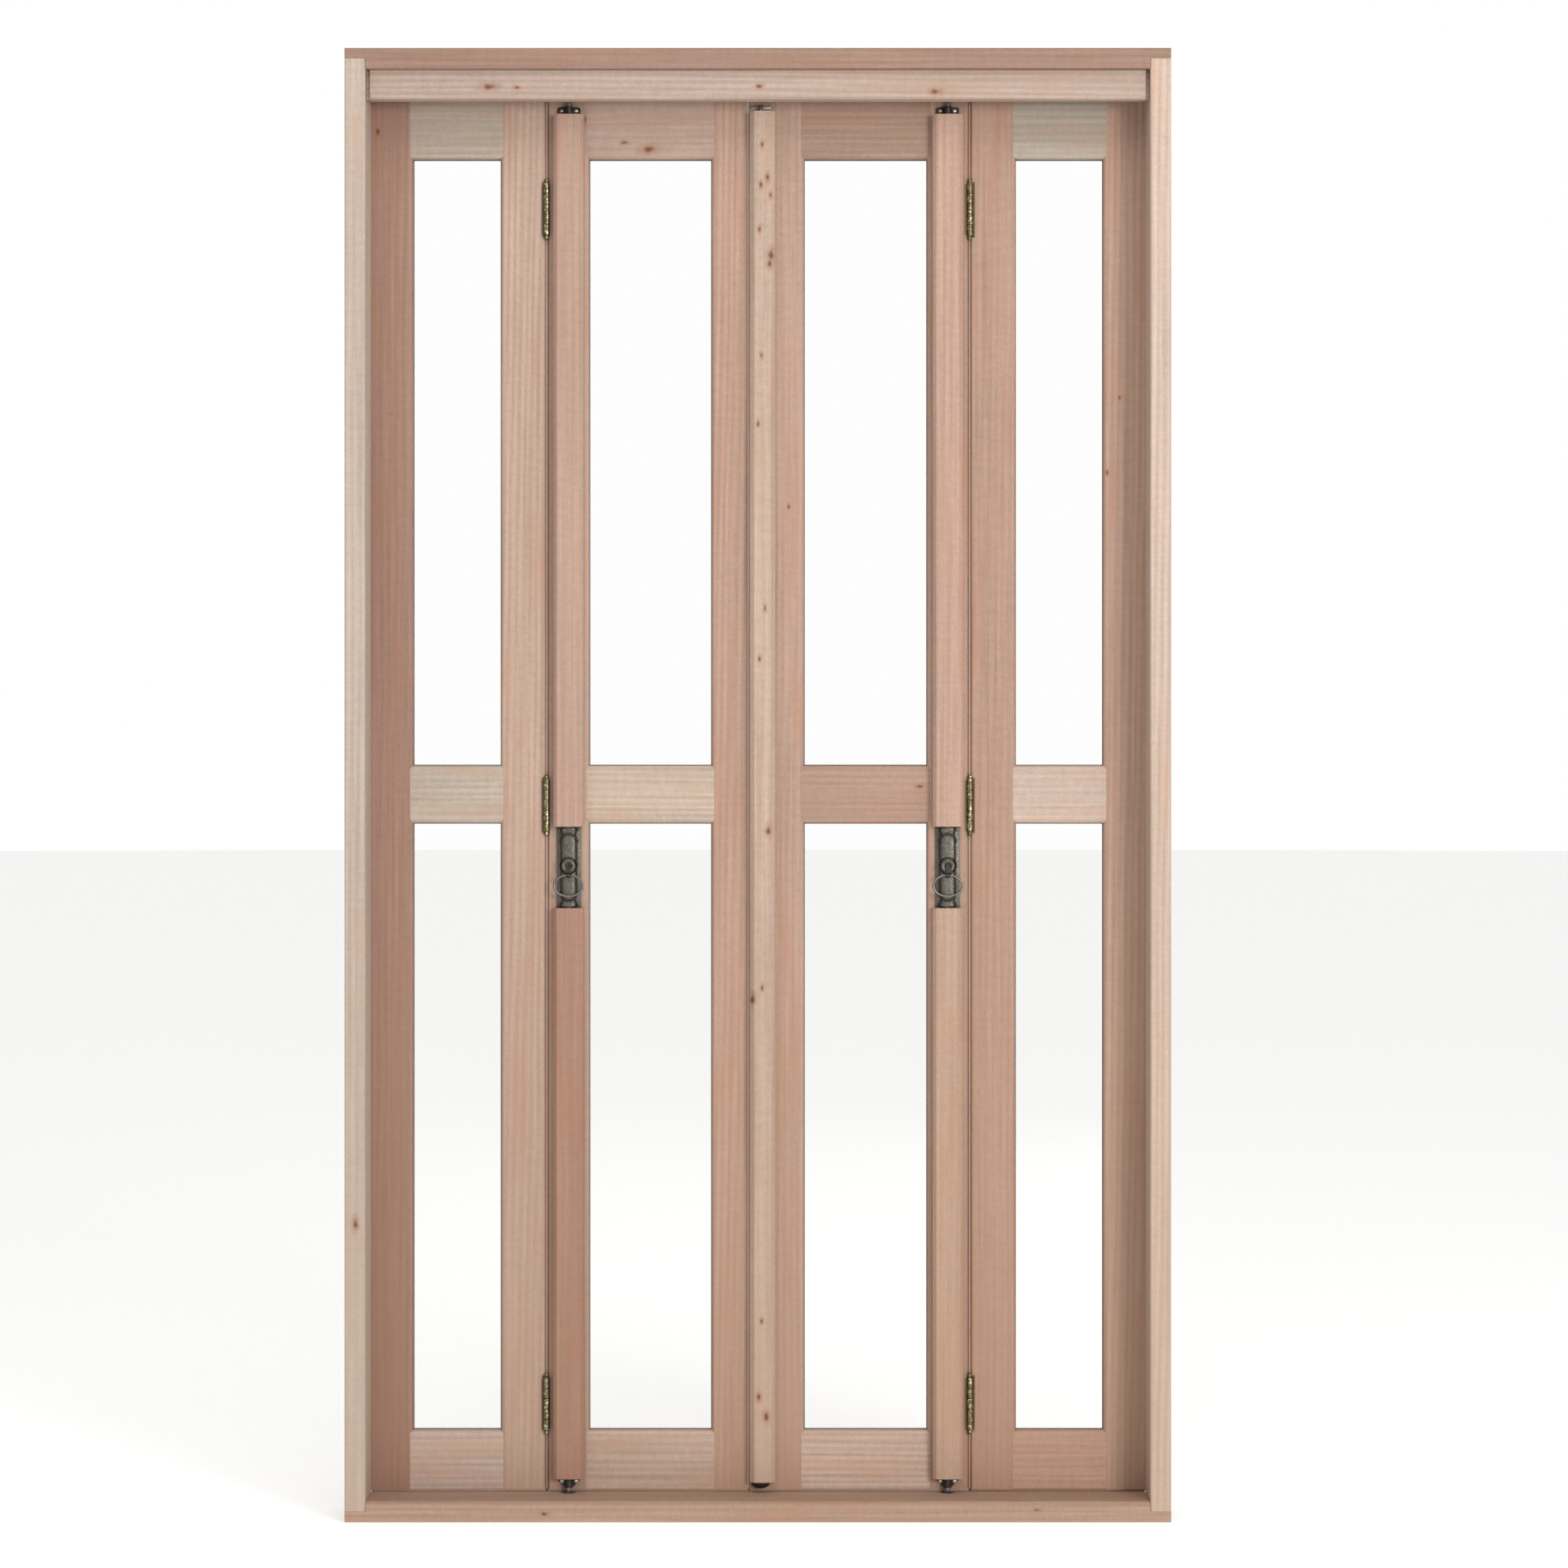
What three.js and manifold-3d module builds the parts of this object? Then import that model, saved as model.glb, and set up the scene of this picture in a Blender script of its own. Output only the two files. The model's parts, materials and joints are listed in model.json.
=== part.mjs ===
// A four-leaf folding window with a sill: two pairs of glazed wooden leaves in a frame of boards.
// Each pair folds back from its jamb, with a ring-handled bolt that shoots a rod up and a rod down.
// Millimetres. X runs to the right, Y to the back, Z up. The origin is under the middle of the sill.
import * as THREE from "three";
import { mergeVertices } from "three/addons/utils/BufferGeometryUtils.js";
import Module from "manifold-3d";

const wasm = await Module();
wasm.setup();

// Fits
const GAP = 0.3; // between pieces that touch
const SWING_GAP = 3; // between a leaf and what it swings past
const STOP_GAP = 1; // between a closed leaf and the jamb's step
const ROUND_STEPS = 5; // flats that make up a rounded corner

// Frame
const WIDTH = 1200;
const HEIGHT = 2140;
const DEPTH = 120;
const BOARD = 30; // thickness of head, jambs and sill
const HOUSING = 15; // depth of the notch that takes each jamb end
const JAMB_REBATE = 15; // step in the jamb behind which the leaf closes
const SILL_ROUND = 9;
const SMALL_ROUND = 1.5; // eased arris of a board
const VALANCE_HEIGHT = 43;
const VALANCE_THICK = 22;
const VALANCE_SETBACK = 10;
const VALANCE_END_GAP = 6;
const VALANCE_ROUND = 5;

// Leaves
const LEAF_THICK = 35;
const MEETING_LINE = -13.5; // where the two pairs meet, left of the middle
const JAMB_STILE = 73.5;
const OUTER_FOLD_STILE = 66;
const INNER_FOLD_STILE = 61;
const LEFT_MEETING_STILE = 53.5;
const RIGHT_MEETING_STILE = 79.5;
const TOP_RAIL = 115;
const MID_RAIL = 85;
const MID_RAIL_BASE = 1014; // height of its lower edge
const BOTTOM_RAIL = 87;
const LIP = 14; // wood in front of the glass
const GLASS_REBATE = 11;
const ROUNDOVER = 6; // round front arris at the glass
const LEAF_CHAMFER = 1;
const KNUCKLE_CHAMFER = 3; // room for the hinge knuckles
const MEETING_BEVEL = 4; // how far the meeting edge leans back, so that a pair can swing alone
const MEETING_BEVEL_START = 5;
const GLASS_THICK = 4;
const GLASS_IN_REBATE = 8;
const TENON_THICK = 12;
const TENON_LENGTH = 32;
const TENON_SETBACK = 1; // behind the lip
const TENON_SHOULDER = 5;
const LEAF_END_SHOULDER = 22;

// Hinges
const FOLD_DEGREES = 62;
const AXIS_OUT = 4; // from a leaf's face to the hinge axis
const HINGE_HEIGHT = 76;
const KNUCKLE_COUNT = 5;
const KNUCKLE_RADIUS = 5;
const KNUCKLE_GAP = 0.4;
const HINGE_PIN_RADIUS = 2;
const FINIAL_RADIUS = 3.3;
const FINIAL_NECK = 2.4;
const PLATE_THICK = 2;
const PLATE_REACH = 31; // from the axis to the plate's far edge
const HINGE_FROM_TOP = 190;
const HINGE_FROM_BOTTOM = 127;
const MID_HINGE_HEIGHT = 1040;
const KNUCKLE_RELIEF = 6; // width of the shallow cut beside the knuckles
const KNUCKLE_RELIEF_DEEP = 1.5;

// Guide pins, which steer the inner leaves along a groove in the head
const GUIDE_FROM_MIDDLE = 33.5;
const ARM_DIFFERENCE = 6; // guide arm less jamb arm, which keeps the pin near a straight line
const GUIDE_FROM_BACK = 10;
const GUIDE_RADIUS = 4;
const GUIDE_SHANK = 16;
const GUIDE_RISE = 12;
const FLANGE_RADIUS = 9;
const FLANGE_THICK = 1.5;
const GROOVE_DEPTH = 12;
const GROOVE_SIDE_ROOM = 3.5;
const GROOVE_END_ROOM = 10;

// Cover strips
const STRIP_WIDTH = 44;
const STRIP_THICK = 20;
const STRIP_BEVEL = 5;
const STRIP_TOP_GAP = 52; // below the leaf's top
const STRIP_BOTTOM_GAP = 18;
const CENTRE_STRIP_WIDTH = 37;
const CENTRE_STRIP_BEVEL = 6.5;
const CENTRE_STRIP_TOP_GAP = 47.5;
const CENTRE_STRIP_BOTTOM_GAP = 13;

// Latches
const LATCH_FROM_FOLD = 33;
const LATCH_HEIGHT = 951.5; // height of the knob's axis
const LATCH_PLATE_WIDTH = 36;
const LATCH_PLATE_HEIGHT = 119;
const LATCH_PLATE_DROP = 2.5; // plate's middle below the knob
const LATCH_PLATE_THICK = 3;
const BARREL_RADIUS = 12.5;
const BARREL_WALL = 2;
const BARREL_LENGTH = 86;
const BARREL_END_WALL = 5;
const COLLAR_PROUD = 1;
const COLLAR_LENGTH = 3;
const SOCKET_RADIUS = 7.5;
const ROD_RADIUS = 4;
const ROD_AXIS_OUT = 9; // from the leaf's face
const ROD_TIP_GAP = 1.5;
const ROD_TIP_CHAMFER = 1.2;
const RUNNING_GAP = 0.4; // round a shaft that turns or slides
const ROD_HOLE_ROOM = 2;
const ROD_HOLE_DEEP = 20;

// Rack and pinion inside each latch
const PITCH_RADIUS = 6;
const TEETH = 12;
const TOOTH_THICK = 1.2; // on the pitch line, which leaves backlash
const TOOTH_OUT = 0.85;
const TOOTH_IN = 1.15;
const TOOTH_SLOPE = 0.36;
const GEAR_OUT = 3.6; // from the leaf's face to the back of the pinion and racks
const GEAR_THICK = 3.6;
const RACK_BACKING = 2;
const RACK_TEETH_PAST = 4.5; // rack reaches this many pitches past the pinion
const ROD_END = 9; // from the knob's axis to the rod's inner end
const ROD_BLOCK = 7;

// Knob and ring
const BOSS_RADIUS = 11;
const BOSS_DEPTH = 8.2;
const BOSS_RIM = 3.5;
const BOSS_SHOULDER = 9.5; // radius where the boss starts to round over
const BOSS_CROWN = 5.5; // radius of its nearly flat middle
const SPINDLE_RADIUS = 4;
const LUG_WIDTH = 5;
const LUG_THICK = 5.7;
const LUG_ROUND = 2;
const EYE_DROP = 13.8; // from the knob's axis to the ring's
const EYE_OUT = 3.5; // from the barrel's front
const EYE_WALL = 1.6;
const RING_BAR = 1.9;
const RING_HALF_WIDTH = 21;
const RING_HALF_HEIGHT = 15.5;

// Places that follow from the sizes above
const halfWidth = WIDTH / 2;
const front = -DEPTH / 2;
const back = DEPTH / 2;
const leafBack = back;
const leafFront = leafBack - LEAF_THICK;
const lipBack = leafFront + LIP;
const leafBottom = BOARD + SWING_GAP;
const leafTop = HEIGHT - BOARD - SWING_GAP;
const jambFace = halfWidth - BOARD;
const rebateFace = jambFace + JAMB_REBATE;
const outerEdge = rebateFace - SWING_GAP;
const jambAxisX = rebateFace - SWING_GAP / 2;
const jambAxisY = leafBack + AXIS_OUT;
const foldAxisX = (jambAxisX + GUIDE_FROM_MIDDLE + ARM_DIFFERENCE) / 2;
const foldAxisY = leafFront - AXIS_OUT;
const guideY = leafBack - GUIDE_FROM_BACK;
const latchX = foldAxisX - LATCH_FROM_FOLD;
const rodY = leafFront - ROD_AXIS_OUT;
const hingeHeights = {
  top: leafTop - HINGE_FROM_TOP,
  mid: MID_HINGE_HEIGHT,
  bottom: leafBottom + HINGE_FROM_BOTTOM,
};

function material(color, roughness, metalness) {
  return new THREE.MeshStandardMaterial({ color, roughness, metalness });
}

const rosyWood = material(0xb9937c, 0.7, 0);
const brownWood = material(0xa97f68, 0.7, 0);
const paleWood = material(0xbfa78f, 0.7, 0);
const glass = new THREE.MeshStandardMaterial({
  color: 0xeef4f2,
  roughness: 0.05,
  metalness: 0,
  transparent: true,
  opacity: 0.2,
});
const brass = material(0x8f7d4e, 0.4, 0.9);
const darkIron = material(0x5d5c55, 0.5, 0.8);
const steel = material(0x8b8d8c, 0.35, 1);

// Solids
function solidOf(geometry) {
  geometry.deleteAttribute("normal");
  geometry.deleteAttribute("uv");
  const merged = mergeVertices(geometry);
  return new wasm.Manifold(
    new wasm.Mesh({
      numProp: 3,
      vertProperties: merged.attributes.position.array,
      triVerts: merged.index.array,
    }),
  );
}

function meshOf(name, solid, finish) {
  const { vertProperties, triVerts } = solid.getMesh();
  const geometry = new THREE.BufferGeometry();
  geometry.setAttribute("position", new THREE.BufferAttribute(vertProperties, 3));
  geometry.setIndex(new THREE.BufferAttribute(triVerts, 1));
  geometry.computeVertexNormals();
  const mesh = new THREE.Mesh(geometry, finish);
  mesh.name = name;
  return mesh;
}

function join(...solids) {
  return solids.reduce((whole, piece) => whole.add(piece));
}

function cut(solid, ...tools) {
  return tools.reduce((rest, tool) => rest.subtract(tool), solid);
}

// A box between two corners, given in any order.
function box(x0, x1, y0, y1, z0, z1) {
  const geometry = new THREE.BoxGeometry(Math.abs(x1 - x0), Math.abs(y1 - y0), Math.abs(z1 - z0));
  return solidOf(geometry.translate((x0 + x1) / 2, (y0 + y1) / 2, (z0 + z1) / 2));
}

// The points of an outline whose corners are [u, v], or [u, v, radius, steps] where one is eased.
function outlineOf(corners) {
  const points = [];
  corners.forEach(([u, v, radius = 0, steps = 1], i) => {
    const here = new THREE.Vector2(u, v);
    if (!radius) {
      points.push(here);
      return;
    }
    const [beforeU, beforeV] = corners.at(i - 1);
    const [afterU, afterV] = corners[(i + 1) % corners.length];
    const before = new THREE.Vector2(beforeU, beforeV).sub(here).normalize();
    const after = new THREE.Vector2(afterU, afterV).sub(here).normalize();
    const halfAngle = Math.acos(before.dot(after)) / 2;
    const inward = before.clone().add(after).setLength(radius / Math.sin(halfAngle));
    const centre = here.clone().add(inward);
    const start = here.clone().addScaledVector(before, radius / Math.tan(halfAngle));
    const turn = Math.sign(after.cross(before)) * (Math.PI - 2 * halfAngle);
    for (let step = 0; step <= steps; step += 1) {
      points.push(start.clone().rotateAround(centre, (turn * step) / steps));
    }
  });
  return points;
}

function extrude(corners, length) {
  const shape = new THREE.Shape(outlineOf(corners));
  return new THREE.ExtrudeGeometry(shape, { depth: length, bevelEnabled: false });
}

// Bars whose section is an outline: (y, z) for a bar along X, (x, z) along Y and (x, y) along Z.
function barAlongX(corners, x0, x1) {
  const turn = new THREE.Matrix4().makeBasis(
    new THREE.Vector3(0, 1, 0),
    new THREE.Vector3(0, 0, 1),
    new THREE.Vector3(1, 0, 0),
  );
  return solidOf(extrude(corners, x1 - x0).applyMatrix4(turn).translate(x0, 0, 0));
}

function barAlongY(corners, y0, y1) {
  return solidOf(extrude(corners, y1 - y0).rotateX(Math.PI / 2).translate(0, y1, 0));
}

function barAlongZ(corners, z0, z1) {
  return solidOf(extrude(corners, z1 - z0).translate(0, 0, z0));
}

// A turned solid about Z, from a profile of [radius, z] that starts and ends on the axis.
function turned(profile, segments = 16) {
  const points = profile.map(([radius, z]) => new THREE.Vector2(radius, z));
  return new THREE.LatheGeometry(points, segments).rotateX(Math.PI / 2);
}

function cylinder(radius, z0, z1, segments = 16) {
  const profile = [
    [0, z0],
    [radius, z0],
    [radius, z1],
    [0, z1],
  ];
  return turned(profile, segments);
}

// Frame of boards. The jambs stand in notches in the head and the sill.
function jambNotches(z0, z1) {
  return [-1, 1].map((side) =>
    box(side * (jambFace - GAP), side * (halfWidth + 1), front - 1, back + 1, z0, z1),
  );
}

function rodHoles(z0, z1) {
  return [-1, 1].map((side) => {
    const hole = cylinder(ROD_RADIUS + ROD_HOLE_ROOM, z0, z1);
    return solidOf(hole.translate(side * latchX, rodY, 0));
  });
}

function makeHead() {
  const base = HEIGHT - BOARD;
  const corners = [
    [front, base, SMALL_ROUND],
    [back, base],
    [back, HEIGHT],
    [front, HEIGHT, SMALL_ROUND],
  ];
  const fold = THREE.MathUtils.degToRad(FOLD_DEGREES);
  const arms = jambAxisX - GUIDE_FROM_MIDDLE;
  const offsets = jambAxisY + guideY - 2 * foldAxisY;
  const pinEnd = jambAxisX - arms * Math.cos(fold) - offsets * Math.sin(fold);
  const grooveEnd = pinEnd + GUIDE_RADIUS + GROOVE_END_ROOM;
  const grooveHalf = GUIDE_RADIUS + GROOVE_SIDE_ROOM;
  const groove = box(
    -grooveEnd,
    grooveEnd,
    guideY - grooveHalf,
    guideY + grooveHalf,
    base - 1,
    base + GROOVE_DEPTH,
  );
  const board = barAlongX(corners, -halfWidth, halfWidth);
  const notches = jambNotches(base - 1, HEIGHT - HOUSING);
  return cut(board, groove, ...notches, ...rodHoles(base - 1, base + ROD_HOLE_DEEP));
}

function makeSill() {
  const corners = [
    [front, 0, SMALL_ROUND],
    [back, 0],
    [back, BOARD],
    [front, BOARD, SILL_ROUND, ROUND_STEPS],
  ];
  const board = barAlongX(corners, -halfWidth, halfWidth);
  const notches = jambNotches(HOUSING, BOARD + 1);
  return cut(board, ...notches, ...rodHoles(BOARD - ROD_HOLE_DEEP, BOARD + 1));
}

function makeJamb(side) {
  const corners = [
    [side * halfWidth, front, SMALL_ROUND],
    [side * jambFace, front, SMALL_ROUND],
    [side * jambFace, leafFront - STOP_GAP],
    [side * rebateFace, leafFront - STOP_GAP],
    [side * rebateFace, back, KNUCKLE_CHAMFER],
    [side * halfWidth, back],
  ];
  const board = barAlongZ(corners, HOUSING + GAP, HEIGHT - HOUSING - GAP);
  const recesses = Object.values(hingeHeights).map((z) =>
    hingeRecess(side * rebateFace, side, back, -1, z),
  );
  return cut(board, ...recesses);
}

function makeValance() {
  const y0 = front + VALANCE_SETBACK;
  const top = HEIGHT - BOARD - GAP;
  const corners = [
    [y0, top - VALANCE_HEIGHT, VALANCE_ROUND, ROUND_STEPS],
    [y0 + VALANCE_THICK, top - VALANCE_HEIGHT, SMALL_ROUND],
    [y0 + VALANCE_THICK, top],
    [y0, top],
  ];
  const end = jambFace - VALANCE_END_GAP;
  return barAlongX(corners, -end, end);
}

// Hinge halves. One half carries the outer knuckles, the pin and its ball ends.
const knuckleHeight = HINGE_HEIGHT / KNUCKLE_COUNT;

// The shallow seat of a hinge plate in a wooden edge at x, which lies towards `into`. The plate
// reaches from the face at y towards `inward`.
function hingeRecess(x, into, y, inward, z) {
  const half = HINGE_HEIGHT / 2 + GAP;
  return box(
    x - into,
    x + into * (PLATE_THICK + GAP),
    y - inward * 2,
    y + inward * (PLATE_REACH - AXIS_OUT + GAP),
    z - half,
    z + half,
  );
}

// About its own axis: the plate lies on the side of -X and reaches towards +Y.
function makeHingeHalf() {
  const face = SWING_GAP / 2;
  const half = HINGE_HEIGHT / 2;
  const plate = box(-face - PLATE_THICK, -face, 0, PLATE_REACH, -half, half);
  const ball = half + FINIAL_NECK + FINIAL_RADIUS / 2;
  const slant = FINIAL_RADIUS * Math.SQRT1_2;
  const profile = [
    [0, -ball - FINIAL_RADIUS],
    [slant, -ball - slant],
    [FINIAL_RADIUS, -ball],
    [slant, -ball + slant],
    [FINIAL_NECK, -half],
    [HINGE_PIN_RADIUS, -half],
  ];
  const upper = profile.map(([radius, z]) => [radius, -z]).reverse();
  const pin = solidOf(turned([...profile, ...upper], 12));
  const ownKnuckles = [];
  const otherKnuckles = [];
  for (let k = 0; k < KNUCKLE_COUNT; k += 1) {
    const base = -half + k * knuckleHeight;
    const own = k % 2 === 0;
    const grow = own ? 0 : KNUCKLE_GAP;
    const radius = KNUCKLE_RADIUS + grow;
    const knuckle = solidOf(cylinder(radius, base - grow, base + knuckleHeight + grow));
    (own ? ownKnuckles : otherKnuckles).push(knuckle);
  }
  return join(cut(join(plate, ...ownKnuckles), ...otherKnuckles), pin);
}

// Leaves. A leaf is two full-height stiles and three rails, tenoned into them and coped over
// their rounded lips, with a rebate for the glass behind.
const leaves = {
  left_outer: {
    x0: -outerEdge,
    x1: -foldAxisX - SWING_GAP / 2,
    stiles: [JAMB_STILE, OUTER_FOLD_STILE],
    edges: ["jamb", "fold"],
    finish: rosyWood,
  },
  left_inner: {
    x0: -foldAxisX + SWING_GAP / 2,
    x1: MEETING_LINE - SWING_GAP / 2,
    stiles: [INNER_FOLD_STILE, LEFT_MEETING_STILE],
    edges: ["fold", "meeting"],
    finish: brownWood,
  },
  right_inner: {
    x0: MEETING_LINE + SWING_GAP / 2,
    x1: foldAxisX - SWING_GAP / 2,
    stiles: [RIGHT_MEETING_STILE, INNER_FOLD_STILE],
    edges: ["meeting", "fold"],
    finish: rosyWood,
  },
  right_outer: {
    x0: foldAxisX + SWING_GAP / 2,
    x1: outerEdge,
    stiles: [OUTER_FOLD_STILE, JAMB_STILE],
    edges: ["fold", "jamb"],
    finish: brownWood,
  },
};

const rails = {
  top_rail: { z0: leafTop - TOP_RAIL, z1: leafTop, below: true, above: false },
  mid_rail: { z0: MID_RAIL_BASE, z1: MID_RAIL_BASE + MID_RAIL, below: true, above: true },
  bottom_rail: { z0: leafBottom, z1: leafBottom + BOTTOM_RAIL, below: false, above: true },
};

const tenonFront = lipBack + TENON_SETBACK;

// The heights that a rail's tenon takes, with room round it where it is a mortise.
function tenonHeights(rail, room) {
  const low = rail.below ? GLASS_REBATE + TENON_SHOULDER : LEAF_END_SHOULDER;
  const high = rail.above ? GLASS_REBATE + TENON_SHOULDER : LEAF_END_SHOULDER;
  return [rail.z0 + low - room, rail.z1 - high + room];
}

// The corners of a stile's free edge, from front to back.
function edgeCorners(kind, x, out) {
  if (kind === "meeting") {
    return [
      [x, leafFront, LEAF_CHAMFER],
      [x, leafFront + MEETING_BEVEL_START],
      [x - out * MEETING_BEVEL, leafBack, LEAF_CHAMFER],
    ];
  }
  return [
    [x, leafFront, kind === "fold" ? KNUCKLE_CHAMFER : LEAF_CHAMFER],
    [x, leafBack, kind === "jamb" ? KNUCKLE_CHAMFER : LEAF_CHAMFER],
  ];
}

// A stile from its free edge at x to its glass edge. `out` points to the free side.
function makeStile(x, width, out, kind) {
  const glassEdge = x - out * width;
  const rebateWall = glassEdge + out * GLASS_REBATE;
  const corners = [
    ...edgeCorners(kind, x, out),
    [rebateWall, leafBack],
    [rebateWall, lipBack],
    [glassEdge, lipBack],
    [glassEdge, leafFront, ROUNDOVER, ROUND_STEPS],
  ];
  const mortises = Object.values(rails).map((rail) => {
    const [z0, z1] = tenonHeights(rail, GAP);
    const end = rebateWall + out * (TENON_LENGTH + 1);
    return box(rebateWall - out, end, tenonFront - GAP, tenonFront + TENON_THICK + GAP, z0, z1);
  });
  const seats = kind === "meeting" ? [] : hingeSeats(x, out, kind);
  return cut(barAlongZ(corners, leafBottom, leafTop), ...mortises, ...seats);
}

function hingeSeats(x, out, kind) {
  const atFront = kind === "fold";
  return Object.values(hingeHeights).map((z) =>
    hingeRecess(x, -out, atFront ? leafFront : leafBack, atFront ? 1 : -1, z),
  );
}

// The shallow cut in the outer leaf's face that shows beside the knuckles.
function knuckleReliefs(x, out) {
  const half = HINGE_HEIGHT / 2 + KNUCKLE_CHAMFER;
  const inner = x - out * KNUCKLE_RELIEF;
  const deep = leafFront + KNUCKLE_RELIEF_DEEP;
  return Object.values(hingeHeights).map((z) =>
    box(x + out, inner, leafFront - 1, deep, z - half, z + half),
  );
}

// The part of a stile that a rail is coped over, grown by the fitting gap.
function copeTool(glassEdge, out) {
  const reach = glassEdge - out * GAP;
  const far = glassEdge + out * (GLASS_REBATE + 2);
  const corners = [
    [reach, lipBack + GAP],
    [far, lipBack + GAP],
    [far, leafFront - GAP],
    [reach, leafFront - GAP, ROUNDOVER + GAP, ROUND_STEPS],
  ];
  return barAlongZ(corners, leafBottom - 1, leafTop + 1);
}

function makeRail(leaf, rail) {
  const glass0 = leaf.x0 + leaf.stiles[0];
  const glass1 = leaf.x1 - leaf.stiles[1];
  const wall0 = glass0 - GLASS_REBATE + GAP;
  const wall1 = glass1 + GLASS_REBATE - GAP;
  const lower = rail.below
    ? [
        [leafFront, rail.z0, ROUNDOVER, ROUND_STEPS],
        [lipBack, rail.z0],
        [lipBack, rail.z0 + GLASS_REBATE],
        [leafBack, rail.z0 + GLASS_REBATE],
      ]
    : [
        [leafFront, rail.z0, LEAF_CHAMFER],
        [leafBack, rail.z0, LEAF_CHAMFER],
      ];
  const upper = rail.above
    ? [
        [leafBack, rail.z1 - GLASS_REBATE],
        [lipBack, rail.z1 - GLASS_REBATE],
        [lipBack, rail.z1],
        [leafFront, rail.z1, ROUNDOVER, ROUND_STEPS],
      ]
    : [
        [leafBack, rail.z1, LEAF_CHAMFER],
        [leafFront, rail.z1, LEAF_CHAMFER],
      ];
  const body = barAlongX([...lower, ...upper], wall0, wall1);
  const [z0, z1] = tenonHeights(rail, 0);
  const end0 = wall0 - TENON_LENGTH;
  const end1 = wall1 + TENON_LENGTH;
  const tenons = box(end0, end1, tenonFront, tenonFront + TENON_THICK, z0, z1);
  return join(cut(body, copeTool(glass0, -1), copeTool(glass1, 1)), tenons);
}

function makePane(leaf, z0, z1) {
  const y0 = lipBack + GAP;
  return box(
    leaf.x0 + leaf.stiles[0] - GLASS_IN_REBATE,
    leaf.x1 - leaf.stiles[1] + GLASS_IN_REBATE,
    y0,
    y0 + GLASS_THICK,
    z0 - GLASS_IN_REBATE,
    z1 + GLASS_IN_REBATE,
  );
}

// The guide pin stands on a flange let into the top of the inner leaf.
const flangeSeat = leafTop - FLANGE_THICK - GAP;

function makeGuidePin(side) {
  const profile = [
    [0, flangeSeat - GUIDE_SHANK],
    [GUIDE_RADIUS, flangeSeat - GUIDE_SHANK],
    [GUIDE_RADIUS, flangeSeat],
    [FLANGE_RADIUS, flangeSeat],
    [FLANGE_RADIUS, flangeSeat + FLANGE_THICK],
    [GUIDE_RADIUS, flangeSeat + FLANGE_THICK],
    [GUIDE_RADIUS, leafTop + GUIDE_RISE],
    [0, leafTop + GUIDE_RISE],
  ];
  return solidOf(turned(profile).translate(side * GUIDE_FROM_MIDDLE, guideY, 0));
}

function guidePinHole(side) {
  const shank = cylinder(GUIDE_RADIUS + GAP, flangeSeat - GUIDE_SHANK - 1, leafTop + 1);
  const seat = cylinder(FLANGE_RADIUS + GAP, flangeSeat - GAP, leafTop + 1);
  return join(solidOf(shank), solidOf(seat)).translate([side * GUIDE_FROM_MIDDLE, guideY, 0]);
}

// Cover strips. The side strips are grooved behind for the rods.
function stripSection(x0, x1, bevel) {
  const strip0 = leafFront - STRIP_THICK;
  const strip1 = leafFront - GAP;
  return [
    [x0, strip1],
    [x0, strip0 + bevel],
    [x0 + bevel, strip0],
    [x1 - bevel, strip0],
    [x1, strip0 + bevel],
    [x1, strip1],
  ];
}

function makeSideStrip(side, z0, z1) {
  const x = side * latchX;
  const strip = barAlongZ(
    stripSection(x - STRIP_WIDTH / 2, x + STRIP_WIDTH / 2, STRIP_BEVEL),
    z0,
    z1,
  );
  const half = ROD_RADIUS + RUNNING_GAP;
  return cut(strip, box(x - half, x + half, rodY - half, leafFront + 1, z0 - 1, z1 + 1));
}

function makeCentreStrip() {
  const x0 = leaves.right_inner.x0;
  return barAlongZ(
    stripSection(x0, x0 + CENTRE_STRIP_WIDTH, CENTRE_STRIP_BEVEL),
    leafBottom + CENTRE_STRIP_BOTTOM_GAP,
    leafTop - CENTRE_STRIP_TOP_GAP,
  );
}

// Latches, about a point on the knob's axis at y = 0. `side` is -1 for the left one.
const plateMiddle = -LATCH_PLATE_DROP;
const plateBottom = plateMiddle - LATCH_PLATE_HEIGHT / 2;
const plateTop = plateMiddle + LATCH_PLATE_HEIGHT / 2;
const plateFront = leafFront - LATCH_PLATE_THICK;
const plateBack = leafFront - GAP;
const barrelBottom = plateMiddle - BARREL_LENGTH / 2;
const barrelTop = plateMiddle + BARREL_LENGTH / 2;
const barrelFront = plateFront - BARREL_RADIUS;
const gearBack = leafFront - GEAR_OUT;
const gearFront = gearBack - GEAR_THICK;
const eyeY = barrelFront - EYE_OUT;

// A bar with a half-round front of this radius, down to the flat at y.
function halfRound(radius, centreY, y, z0, z1) {
  const corners = [
    [-radius, centreY - radius, radius, ROUND_STEPS],
    [radius, centreY - radius, radius, ROUND_STEPS],
    [radius, y],
    [-radius, y],
  ];
  return barAlongZ(corners, z0, z1);
}

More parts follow.
